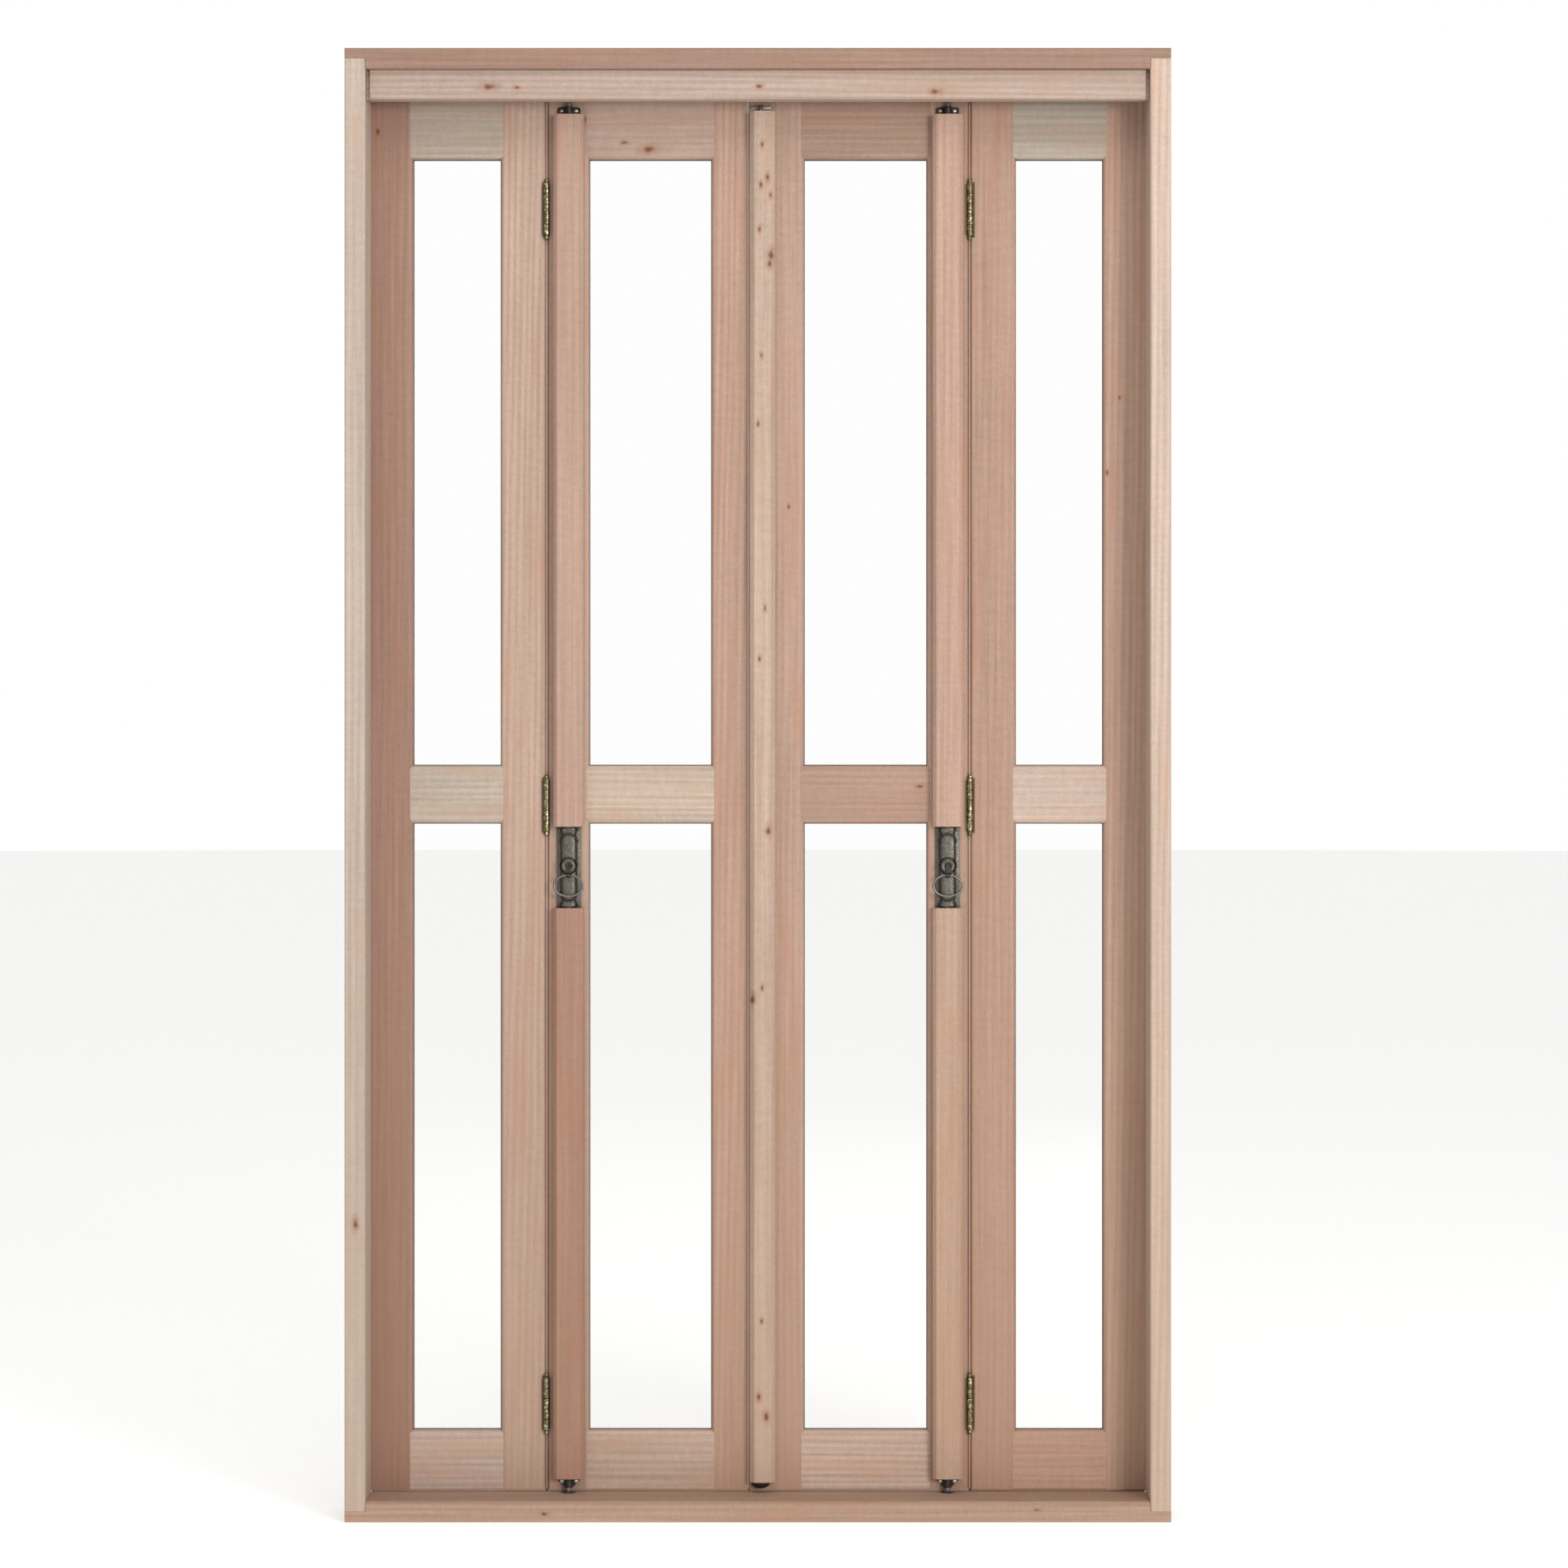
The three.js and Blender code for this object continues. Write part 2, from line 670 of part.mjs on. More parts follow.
function makeLatchHousing() {
  const half = LATCH_PLATE_WIDTH / 2;
  const plate = box(-half, half, plateFront, plateBack, plateBottom, plateTop);
  const barrel = halfRound(BARREL_RADIUS, plateFront, plateBack, barrelBottom, barrelTop);
  const collars = [barrelBottom, barrelTop - COLLAR_LENGTH].map((z) =>
    halfRound(BARREL_RADIUS + COLLAR_PROUD, plateFront, plateBack, z, z + COLLAR_LENGTH),
  );
  const sockets = [
    halfRound(SOCKET_RADIUS, rodY, plateBack, plateBottom, barrelBottom),
    halfRound(SOCKET_RADIUS, rodY, plateBack, barrelTop, plateTop),
  ];
  const room = halfRound(
    BARREL_RADIUS - BARREL_WALL,
    plateFront,
    leafFront + 1,
    barrelBottom + BARREL_END_WALL,
    barrelTop - BARREL_END_WALL,
  );
  const rodBore = cylinder(ROD_RADIUS + RUNNING_GAP, plateBottom - 1, plateTop + 1);
  const spindleBore = cylinder(SPINDLE_RADIUS + RUNNING_GAP, 0, plateFront);
  return cut(
    join(plate, barrel, ...collars, ...sockets),
    room,
    solidOf(rodBore.translate(0, rodY, 0)),
    solidOf(spindleBore.rotateX(-Math.PI / 2)),
  );
}

function pinionOutline() {
  const root = PITCH_RADIUS - TOOTH_IN;
  const tip = PITCH_RADIUS + TOOTH_OUT;
  const rootHalf = (TOOTH_THICK / 2 + TOOTH_IN * TOOTH_SLOPE) / root;
  const tipHalf = (TOOTH_THICK / 2 - TOOTH_OUT * TOOTH_SLOPE) / tip;
  const points = [];
  for (let tooth = 0; tooth < TEETH; tooth += 1) {
    const angle = (2 * Math.PI * tooth) / TEETH;
    const at = (radius, a) => points.push([radius * Math.cos(a), radius * Math.sin(a)]);
    at(root, angle - rootHalf);
    at(tip, angle - tipHalf);
    at(tip, angle + tipHalf);
    at(root, angle + rootHalf);
  }
  return points;
}

function makeKnob() {
  const pinion = barAlongY(pinionOutline(), gearFront, gearBack);
  const bossBack = barrelFront - GAP;
  const spindle = solidOf(cylinder(SPINDLE_RADIUS, bossBack - 1, gearBack).rotateX(-Math.PI / 2));
  const bossFront = bossBack - BOSS_DEPTH;
  const rim = bossBack - BOSS_RIM;
  const profile = [
    [0, bossBack],
    [BOSS_RADIUS, bossBack],
    [BOSS_RADIUS, rim],
    [BOSS_SHOULDER, (rim * 2 + bossFront) / 3],
    [BOSS_CROWN, (rim + bossFront * 5) / 6],
    [0, bossFront],
  ].reverse();
  const boss = solidOf(turned(profile, 24).rotateX(-Math.PI / 2));
  const eyeRadius = RING_BAR + 2 * GAP;
  const lugBottom = -EYE_DROP - eyeRadius - EYE_WALL;
  const lugBack = bossBack - GAP;
  const lugFront = lugBack - LUG_THICK;
  const corners = [
    [lugFront, lugBottom, LUG_ROUND, ROUND_STEPS],
    [lugBack, lugBottom, LUG_ROUND, ROUND_STEPS],
    [lugBack, -BOSS_RADIUS / 2],
    [lugFront, -BOSS_RADIUS / 2],
  ];
  const lug = barAlongX(corners, -LUG_WIDTH / 2, LUG_WIDTH / 2);
  const eye = cylinder(eyeRadius, -LUG_WIDTH, LUG_WIDTH).rotateY(Math.PI / 2);
  return cut(join(pinion, spindle, boss, lug), solidOf(eye.translate(0, eyeY, -EYE_DROP)));
}

// A torus whose centre line is stretched to an oval. Its bar keeps its round section.
function makeRing() {
  const radius = RING_HALF_HEIGHT;
  const torus = new THREE.TorusGeometry(radius, RING_BAR, 10, 32).rotateX(Math.PI / 2);
  const position = torus.getAttribute("position");
  const stretch = RING_HALF_WIDTH - RING_HALF_HEIGHT;
  for (let i = 0; i < position.count; i += 1) {
    const angle = Math.atan2(position.getZ(i), position.getX(i));
    position.setX(i, position.getX(i) + stretch * Math.cos(angle));
  }
  return solidOf(torus.translate(0, eyeY, -EYE_DROP - RING_HALF_HEIGHT));
}

// A rod with its rack beside the pinion. `up` is 1 for the upper rod and -1 for the lower one, and
// `across` is the side of the pinion that the rack runs on.
function makeRod(up, across, tip) {
  const pitch = (2 * Math.PI * PITCH_RADIUS) / TEETH;
  const rackTip = PITCH_RADIUS - TOOTH_OUT;
  const rackRoot = PITCH_RADIUS + TOOTH_IN;
  const rackBack = rackRoot + RACK_BACKING;
  const tipHalf = TOOTH_THICK / 2 - TOOTH_OUT * TOOTH_SLOPE;
  const rootHalf = TOOTH_THICK / 2 + TOOTH_IN * TOOTH_SLOPE;
  const outline = [
    [rackBack, ROD_END + ROD_BLOCK],
    [rackBack, -(RACK_TEETH_PAST + 0.5) * pitch],
    [rackRoot, -(RACK_TEETH_PAST + 0.5) * pitch],
  ];
  for (let tooth = -RACK_TEETH_PAST; tooth * pitch < ROD_END - pitch; tooth += 1) {
    const z = tooth * pitch;
    outline.push([rackRoot, z - rootHalf], [rackTip, z - tipHalf]);
    outline.push([rackTip, z + tipHalf], [rackRoot, z + rootHalf]);
  }
  outline.push([rackRoot, ROD_END + ROD_BLOCK]);
  const corners = outline.map(([x, z]) => [across * x, up * z]);
  const rack = barAlongY(corners, gearFront, gearBack);
  const block = box(
    -across * (ROD_RADIUS - 1),
    across * rackBack,
    gearFront,
    gearBack,
    up * ROD_END,
    up * (ROD_END + ROD_BLOCK),
  );
  const profile = [
    [0, ROD_END],
    [ROD_RADIUS, ROD_END],
    [ROD_RADIUS, tip - ROD_TIP_CHAMFER],
    [ROD_RADIUS - ROD_TIP_CHAMFER, tip],
    [0, tip],
  ];
  const rod = turned(profile);
  if (up < 0) rod.rotateX(Math.PI);
  return join(rack, block, solidOf(rod.translate(0, rodY, 0)));
}

// The scene: each group is a part of the window that a hand would lift off whole.
const folding_window = new THREE.Group();

function add(group, name, solid, finish) {
  const mesh = meshOf(name, solid, finish);
  group.add(mesh);
  return mesh;
}

const frame = new THREE.Group();
add(frame, "head", makeHead(), brownWood);
add(frame, "sill", makeSill(), paleWood);
add(frame, "left_jamb", makeJamb(-1), paleWood);
add(frame, "right_jamb", makeJamb(1), rosyWood);
add(frame, "valance", makeValance(), paleWood);
folding_window.add(frame);

for (const [name, leaf] of Object.entries(leaves)) {
  const group = new THREE.Group();
  const side = name.startsWith("left") ? -1 : 1;
  const pinHole = guidePinHole(side);
  const inner = name.endsWith("inner");
  const fit = (solid) => (inner ? cut(solid, pinHole) : solid);
  [leaf.x0, leaf.x1].forEach((x, i) => {
    const out = i ? 1 : -1;
    const kind = leaf.edges[i];
    const stile = makeStile(x, leaf.stiles[i], out, kind);
    const relieved = !inner && kind === "fold" ? cut(stile, ...knuckleReliefs(x, out)) : stile;
    add(group, `${name}_${kind}_stile`, fit(relieved), leaf.finish);
  });
  for (const [railName, rail] of Object.entries(rails)) {
    add(group, `${name}_${railName}`, fit(makeRail(leaf, rail)), leaf.finish);
  }
  const { bottom_rail: low, mid_rail: mid, top_rail: high } = rails;
  add(group, `${name}_lower_pane`, makePane(leaf, low.z1, mid.z0), glass);
  add(group, `${name}_upper_pane`, makePane(leaf, mid.z1, high.z0), glass);
  folding_window.add(group);
}

const stripEnd = leafBottom + STRIP_BOTTOM_GAP;
const stripHead = leafTop - STRIP_TOP_GAP;
const underPlate = LATCH_HEIGHT + plateBottom - GAP;
const overPlate = LATCH_HEIGHT + plateTop + GAP;
add(folding_window, "centre_cover_strip", makeCentreStrip(), paleWood);

for (const side of [-1, 1]) {
  const hand = side < 0 ? "left" : "right";
  add(folding_window, `${hand}_lower_cover_strip`, makeSideStrip(side, stripEnd, underPlate), paleWood);
  add(folding_window, `${hand}_upper_cover_strip`, makeSideStrip(side, overPlate, stripHead), rosyWood);
  add(folding_window, `${hand}_guide_pin`, makeGuidePin(side), steel);

  const latch = new THREE.Group();
  latch.position.set(side * latchX, 0, LATCH_HEIGHT);
  const upperTip = HEIGHT - BOARD - ROD_TIP_GAP - LATCH_HEIGHT;
  const lowerTip = LATCH_HEIGHT - BOARD - ROD_TIP_GAP;
  add(latch, `${hand}_latch_housing`, makeLatchHousing(), darkIron);
  add(latch, `${hand}_latch_knob`, makeKnob(), darkIron);
  add(latch, `${hand}_latch_ring`, makeRing(), darkIron);
  add(latch, `${hand}_upper_rod`, makeRod(1, -side, upperTip), steel);
  add(latch, `${hand}_lower_rod`, makeRod(-1, side, lowerTip), steel);
  folding_window.add(latch);

  // Turned half round about Y, the hinge half serves the right pair. Turned about X or Z, it
  // faces the other way for the jamb, at the back.
  for (const [place, z] of Object.entries(hingeHeights)) {
    const foldHinge = add(folding_window, `${hand}_fold_hinge_${place}`, makeHingeHalf(), brass);
    foldHinge.position.set(side * foldAxisX, foldAxisY, z);
    if (side > 0) foldHinge.rotation.y = Math.PI;
    if (place === "mid") continue; // the middle jamb hinge is left to the finished model
    const jambHinge = add(folding_window, `${hand}_jamb_hinge_${place}`, makeHingeHalf(), brass);
    jambHinge.position.set(side * jambAxisX, jambAxisY, z);
    jambHinge.rotation.set(side < 0 ? Math.PI : 0, 0, side < 0 ? 0 : Math.PI);
  }
}

export default folding_window;
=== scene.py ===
"""A four-leaf folding window of planed hardwood, with brass hinges and ring-handled bolts."""

import json
import math

import bmesh
import bpy
from bmesh.types import BMEdge, BMFace, BMVert
from bpy.props import FloatProperty, FloatVectorProperty, IntProperty, PointerProperty
from mathutils import Matrix, Vector


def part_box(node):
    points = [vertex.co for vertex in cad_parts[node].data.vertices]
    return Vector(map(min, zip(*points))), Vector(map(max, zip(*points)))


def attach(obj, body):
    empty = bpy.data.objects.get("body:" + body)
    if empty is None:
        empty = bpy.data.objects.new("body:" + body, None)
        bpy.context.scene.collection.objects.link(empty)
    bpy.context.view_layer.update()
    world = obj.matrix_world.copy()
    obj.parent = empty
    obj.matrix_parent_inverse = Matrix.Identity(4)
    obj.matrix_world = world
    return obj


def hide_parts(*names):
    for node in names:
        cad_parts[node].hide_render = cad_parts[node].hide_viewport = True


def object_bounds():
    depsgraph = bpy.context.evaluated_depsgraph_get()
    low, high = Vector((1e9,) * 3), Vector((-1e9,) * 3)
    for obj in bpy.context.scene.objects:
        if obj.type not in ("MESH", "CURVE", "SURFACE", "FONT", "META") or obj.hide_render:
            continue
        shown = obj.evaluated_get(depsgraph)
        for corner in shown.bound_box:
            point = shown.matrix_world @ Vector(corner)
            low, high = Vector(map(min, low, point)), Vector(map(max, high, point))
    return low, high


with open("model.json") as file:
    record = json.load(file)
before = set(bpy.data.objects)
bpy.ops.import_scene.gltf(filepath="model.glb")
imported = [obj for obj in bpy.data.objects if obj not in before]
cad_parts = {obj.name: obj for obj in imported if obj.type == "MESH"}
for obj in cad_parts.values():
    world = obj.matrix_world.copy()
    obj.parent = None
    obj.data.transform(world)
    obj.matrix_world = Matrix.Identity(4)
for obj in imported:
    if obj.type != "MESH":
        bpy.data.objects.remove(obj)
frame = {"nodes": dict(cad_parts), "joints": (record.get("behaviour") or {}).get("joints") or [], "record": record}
CAD_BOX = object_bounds()

bl_info = {
    "name": "Folding Window",
    "version": (1, 0, 0),
    "blender": (4, 5, 0),
    "location": "3D View > Sidebar > Folding Window",
    "description": "Makes a four-leaf folding window with its hinges, bolts, glass and beads",
    "category": "Object",
}

MM = 0.001
HANDS = {"left": -1, "right": 1}
LEAVES = ("left_outer", "left_inner", "right_inner", "right_outer")
BODIES = frame["record"]["behaviour"]["bodies"]
BODY_OF = {node: body for body, nodes in BODIES.items() for node in nodes}
SLOT_OF = {row["node"]: row["material_slot"] for row in frame["record"]["subparts"]}
PIVOTS = {joint["name"]: Vector(joint.get("pos_m", (0, 0, 0))) for joint in frame["joints"]}


def linear(code):
    """A colour written as sRGB hex, as linear red, green and blue."""
    channels = [int(code[i : i + 2], 16) / 255 for i in (1, 3, 5)]
    return tuple(c / 12.92 if c <= 0.04045 else ((c + 0.055) / 1.055) ** 2.4 for c in channels)


# Each board was cut from a different plank, so each has its own tone.
BOARD_TONES = {
    "head": "#9f7e6d",
    "valance": "#b59f91",
    "left_jamb": "#c4b2a4",
    "right_jamb": "#cab2a2",
    "sill": "#b6957f",
    "left_outer_jamb_stile": "#a5806f",
    "left_outer_fold_stile": "#bda08e",
    "left_outer_top_rail": "#b3a293",
    "left_outer_mid_rail": "#bdad9d",
    "left_outer_bottom_rail": "#c4ab9c",
    "left_inner_fold_stile": "#b99987",
    "left_inner_meeting_stile": "#b79582",
    "left_inner_top_rail": "#b89e8f",
    "left_inner_mid_rail": "#c4af9d",
    "left_inner_bottom_rail": "#c0a492",
    "left_upper_cover_strip": "#b99887",
    "left_lower_cover_strip": "#ab8470",
    "centre_cover_strip": "#c3a997",
    "right_inner_meeting_stile": "#bb9a88",
    "right_inner_fold_stile": "#b79684",
    "right_inner_top_rail": "#a98977",
    "right_inner_mid_rail": "#b08f7c",
    "right_inner_bottom_rail": "#c7ab9a",
    "right_upper_cover_strip": "#c09d8b",
    "right_lower_cover_strip": "#bb9b86",
    "right_outer_fold_stile": "#b4927e",
    "right_outer_jamb_stile": "#b69582",
    "right_outer_top_rail": "#b2a496",
    "right_outer_mid_rail": "#cab3a4",
    "right_outer_bottom_rail": "#b7927d",
}

# Knots and small marks: x and z of the middle, and the radius, in millimetres.
KNOTS = {
    "valance": [(-390, 2085, 3.8), (258, 2078, 3.2), (2, 2086, 2.4), (-350, 2084, 1.8)],
    "left_inner_top_rail": [(-160, 2006, 4.2), (-197, 2016, 2.2)],
    "left_outer_jamb_stile": [(-560, 2032, 2.6)],
    "left_jamb": [(-584, 433, 3)],
    "left_inner_fold_stile": [(-253, 2050, 3)],
    "right_inner_mid_rail": [(238, 1068, 2.4)],
    "right_outer_jamb_stile": [(532, 1640, 1.4), (514, 1530, 1.6)],
    "right_inner_meeting_stile": [(45, 1480, 1.6)],
    "centre_cover_strip": [
        (6, 2010, 2.2), (14, 1962, 2.4), (4, 1951, 2), (18, 1935, 1.8), (2, 1885, 2),
        (19, 1848, 3.6), (17, 1836, 3), (5, 1700, 1.8), (0, 1600, 1.6), (10, 1330, 1.8),
        (2, 1255, 1.6), (15, 1002, 3), (6, 772, 1.8), (-8, 755, 3), (5, 283, 1.8),
        (1, 172, 2.6), (12, 143, 3),
    ],
    "sill": [(-310, 12, 2), (405, 18, 1.8)],
}

# Boards sawn nearer the outside of the tree show arched growth rings. The rest are plain striped.
ARCHED = (
    "left_outer_fold_stile",
    "right_jamb",
    "valance",
    "right_inner_bottom_rail",
    "left_inner_mid_rail",
    "right_outer_jamb_stile",
    "left_inner_meeting_stile",
)


class FoldingWindowSizes(bpy.types.PropertyGroup):
    """Sizes of what is added to the frame"""

    arris: FloatProperty(
        name="Arris", description="Round on the boards' long edges", default=0.7 * MM, unit="LENGTH"
    )
    bead_depth: FloatProperty(
        name="Bead Depth", description="Depth of the glazing beads", default=13 * MM, unit="LENGTH"
    )
    bead_round: FloatProperty(
        name="Bead Round", description="Round on the beads", default=6 * MM, unit="LENGTH"
    )
    fit: FloatProperty(
        name="Fit", description="Gap between pieces that touch", default=0.3 * MM, unit="LENGTH"
    )
    screw: FloatProperty(
        name="Screw", description="Radius of a screw head", default=3.1 * MM, unit="LENGTH"
    )
    turns: IntProperty(name="Turns", description="Steps round a turned piece", default=40, min=12)


class FoldingWindowColours(bpy.types.PropertyGroup):
    """Colours of the metals and the stage"""

    brass: FloatVectorProperty(
        name="Brass", description="Brass of the hinges", subtype="COLOR", default=linear("#7d7553")
    )
    iron: FloatVectorProperty(
        name="Iron", description="Cast iron of the bolts", subtype="COLOR", default=linear("#77736b")
    )
    steel: FloatVectorProperty(
        name="Steel", description="Steel of the rods", subtype="COLOR", default=linear("#9d9c98")
    )
    floor: FloatVectorProperty(
        name="Floor", description="Pale floor", subtype="COLOR", default=linear("#f4f4f2")
    )


def sizes():
    return bpy.context.scene.folding_window_sizes


def colours():
    return bpy.context.scene.folding_window_colours


# Materials


def add(tree, kind, inputs=None, **settings):
    """Adds a node, with its settings, and with values or links for its inputs."""
    node = tree.nodes.new(kind)
    for name, value in settings.items():
        setattr(node, name, value)
    for key, value in (inputs or {}).items():
        if isinstance(value, bpy.types.NodeSocket):
            tree.links.new(value, node.inputs[key])
        else:
            node.inputs[key].default_value = value
    return node


def new_material(name):
    """A material with its output and an empty principled shader."""
    material = bpy.data.materials.new(name)
    material.use_nodes = True
    tree = material.node_tree
    tree.nodes.clear()
    shader = add(tree, "ShaderNodeBsdfPrincipled")
    output = add(tree, "ShaderNodeOutputMaterial")
    tree.links.new(shader.outputs[0], output.inputs["Surface"])
    return material, tree, shader


def mixed(tree, amount, first, second):
    """A mix of two colours, each a plain colour or a socket."""
    mix = add(tree, "ShaderNodeMix", {"Factor": amount}, data_type="RGBA")
    for socket, colour in ((mix.inputs[6], first), (mix.inputs[7], second)):
        if isinstance(colour, bpy.types.NodeSocket):
            tree.links.new(colour, socket)
        else:
            socket.default_value = (*colour, 1)
    return mix.outputs[2]


def per_size(across, along):
    """Mapping scales that make one pattern cell this many millimetres across and along the grain."""
    return (1000 / across, 1000 / across, 1000 / along)


def noise(tree, place, scale, detail, rough=0.5):
    """Noise with its cells stretched by mapping scales."""
    cell = add(tree, "ShaderNodeMapping", {"Vector": place, "Scale": scale})
    inputs = {"Vector": cell.outputs[0], "Scale": 1.0, "Detail": detail, "Roughness": rough}
    return add(tree, "ShaderNodeTexNoise", inputs).outputs["Fac"]


def knot_nearness(tree, place, knots, along):
    """The distance to the nearest knot's middle, in knot radii. Knots are longer along the grain."""
    nearest = None
    for x, z, radius in knots:
        per_x, per_z = (1, 0.5) if along == "Z" else (0.5, 1)
        scale = Vector((per_x, 0, per_z)) / (radius * MM)
        near = add(
            tree,
            "ShaderNodeMapping",
            {"Vector": place, "Location": (-x * MM * scale.x, 0, -z * MM * scale.z), "Scale": scale},
        )
        length = add(tree, "ShaderNodeVectorMath", {0: near.outputs[0]}, operation="LENGTH")
        if nearest is None:
            nearest = length.outputs["Value"]
        else:
            both = {0: nearest, 1: length.outputs["Value"]}
            nearest = add(tree, "ShaderNodeMath", both, operation="MINIMUM").outputs[0]
    return nearest


# The tones are as seen in even light, which is a little brighter than the boards' own reflectance.
EVEN_LIGHT = 0.8
# The weighted sum of the patterns runs between these, from the darkest fibre to the lightest.
FIGURE_SPAN = (0.65, 1.55)
DARK_FIBRE, LIGHT_FIBRE = 0.66, 1.34
HEARTWOOD = (1.02, 0.8, 0.66)
# Painted shade at the foot of an upright board: the share of each channel of its tone left there.
PAINTED_FOOT_SHADE = (0.9, 0.82, 0.7)


def planed_hardwood(name, along, seed):
    """Planed, unfinished pinkish hardwood: matt, with fine streaks, short pores and growth rings.

    The grain runs along X or Z."""
    material, tree, shader = new_material(f"planed_hardwood_{name}")
    tone = Vector(linear(BOARD_TONES[name]))
    place = add(tree, "ShaderNodeTexCoord").outputs["Object"]
    lie = (0, 0, 0) if along == "Z" else (0, math.radians(90), 0)
    plank = add(
        tree,
        "ShaderNodeMapping",
        {"Vector": place, "Location": (seed * 0.37, seed * 0.21, seed * 0.83), "Rotation": lie},
    ).outputs[0]

    def pattern(across, long, detail, rough=0.5):
        return noise(tree, plank, per_size(across, long), detail, rough)

    clouds = pattern(70, 900, 2)  # slow change of tone in one plank
    streaks = pattern(5, 260, 4, 0.62)  # bands of denser fibre
    warmth = pattern(24, 210, 3, 0.6)  # redder heartwood here and there
    ripple = pattern(16, 7, 2)  # fibres that lean to and fro and catch the light in turn
    # The rays are flecks under half a millimetre across, drawn four times as wide so that they show.
    flecks = pattern(1.7, 4.5, 2, 0.7)
    # Real pores are about 0.3 mm wide. They are drawn three times as wide so that they show.
    pores = pattern(1.0, 16, 2)

    # Growth rings round a pith line that lies behind the board, so that they show as stripes, or as
    # arches where the line comes near the face.
    arched = name in ARCHED
    lean = math.radians(1.6 if arched else 0.4)
    behind = (0.02 * seed, 0.03 if arched else 0.4, 0)
    line = {"Vector": plank, "Location": behind, "Rotation": (lean, 0, 0)}
    pith = add(tree, "ShaderNodeMapping", line)
    squeeze = add(tree, "ShaderNodeMapping", {"Vector": pith.outputs[0], "Scale": per_size(9, 160)})
    # At this scale a ring's period is the nine millimetres of the mapping.
    growth = {"Distortion": 5.0, "Detail": 2.0, "Detail Scale": 0.6}
    growth |= {"Vector": squeeze.outputs[0], "Scale": math.pi / 10}
    kind = {"wave_type": "RINGS", "rings_direction": "Z", "wave_profile": "SIN"}
    rings = add(tree, "ShaderNodeTexWave", growth, **kind)

    def weighted(value, weight, base=0.0):
        terms = {0: value, 1: weight, 2: base}
        return add(tree, "ShaderNodeMath", terms, operation="MULTIPLY_ADD").outputs[0]

    def ramp(value, start, end):
        limits = {"Value": value, "From Min": start, "From Max": end}
        return add(tree, "ShaderNodeMapRange", limits).outputs[0]

    figure = weighted(rings.outputs["Fac"], 0.22 if arched else 0.12)
    for part, weight in ((streaks, 0.8), (clouds, 0.5), (ripple, 0.28), (flecks, 0.5)):
        figure = weighted(part, weight, figure)
    spread = ramp(figure, *FIGURE_SPAN)
    fibre = tone * EVEN_LIGHT
    shade = mixed(tree, spread, fibre * DARK_FIBRE, fibre * LIGHT_FIBRE)
    heart = [part * share for part, share in zip(fibre, HEARTWOOD)]
    shade = mixed(tree, weighted(ramp(warmth, 0.5, 0.72), 0.5), shade, heart)
    # Painted shade: upright boards grow darker and browner towards the floor, as under light from above.
    if along == "Z":
        height = add(tree, "ShaderNodeSeparateXYZ", {0: place}).outputs["Z"]
        foot = [part * share for part, share in zip(fibre, PAINTED_FOOT_SHADE)]
        shade = mixed(tree, weighted(ramp(height, 1.15, 0.0), 0.5), shade, foot)

    pore_depth = ramp(pores, 0.36, 0.27)
    shade = mixed(tree, weighted(pore_depth, 0.35), shade, tone * 0.35)

    # The ends of a board drink in the light, so they are darker.
    normal = add(tree, "ShaderNodeTexCoord").outputs["Normal"]
    split = add(tree, "ShaderNodeSeparateXYZ", {0: normal})
    facing = add(tree, "ShaderNodeMath", {0: split.outputs[along]}, operation="ABSOLUTE").outputs[0]
    shade = mixed(tree, weighted(ramp(facing, 0.8, 0.95), 0.45), shade, tone * 0.4)

    if name in KNOTS:
        near = weighted(ripple, 1.4, knot_nearness(tree, place, KNOTS[name], along))
        shade = mixed(tree, weighted(ramp(near, 3.4, 1.7), 0.6), shade, linear("#9a6a4e"))
        shade = mixed(tree, weighted(ramp(near, 1.9, 1.1), 0.85), shade, linear("#5a3a28"))

    tree.links.new(shade, shader.inputs["Base Color"])
    grip = {"Value": streaks, "From Min": 0.2, "From Max": 0.8, "To Min": 0.74, "To Max": 0.6}
    tree.links.new(add(tree, "ShaderNodeMapRange", grip).outputs[0], shader.inputs["Roughness"])
    relief = weighted(pore_depth, -0.6, streaks)
    bump = add(tree, "ShaderNodeBump", {"Height": relief, "Strength": 0.35, "Distance": 0.25 * MM})
    tree.links.new(bump.outputs[0], shader.inputs["Normal"])
    return material


# How far round a metal piece turns from its front or back before it counts as its side, which gets
# painted shade: the size of its normal's Y.
SIDE_STARTS, SIDE_ENDS = 0.88, 0.3

# The noise values between which tarnish gathers, and between which painted highlights are laid on.
TARNISHED = (0.62, 0.36)
PAINTED_HIGHLIGHT_SPOTS = (0.54, 0.64)


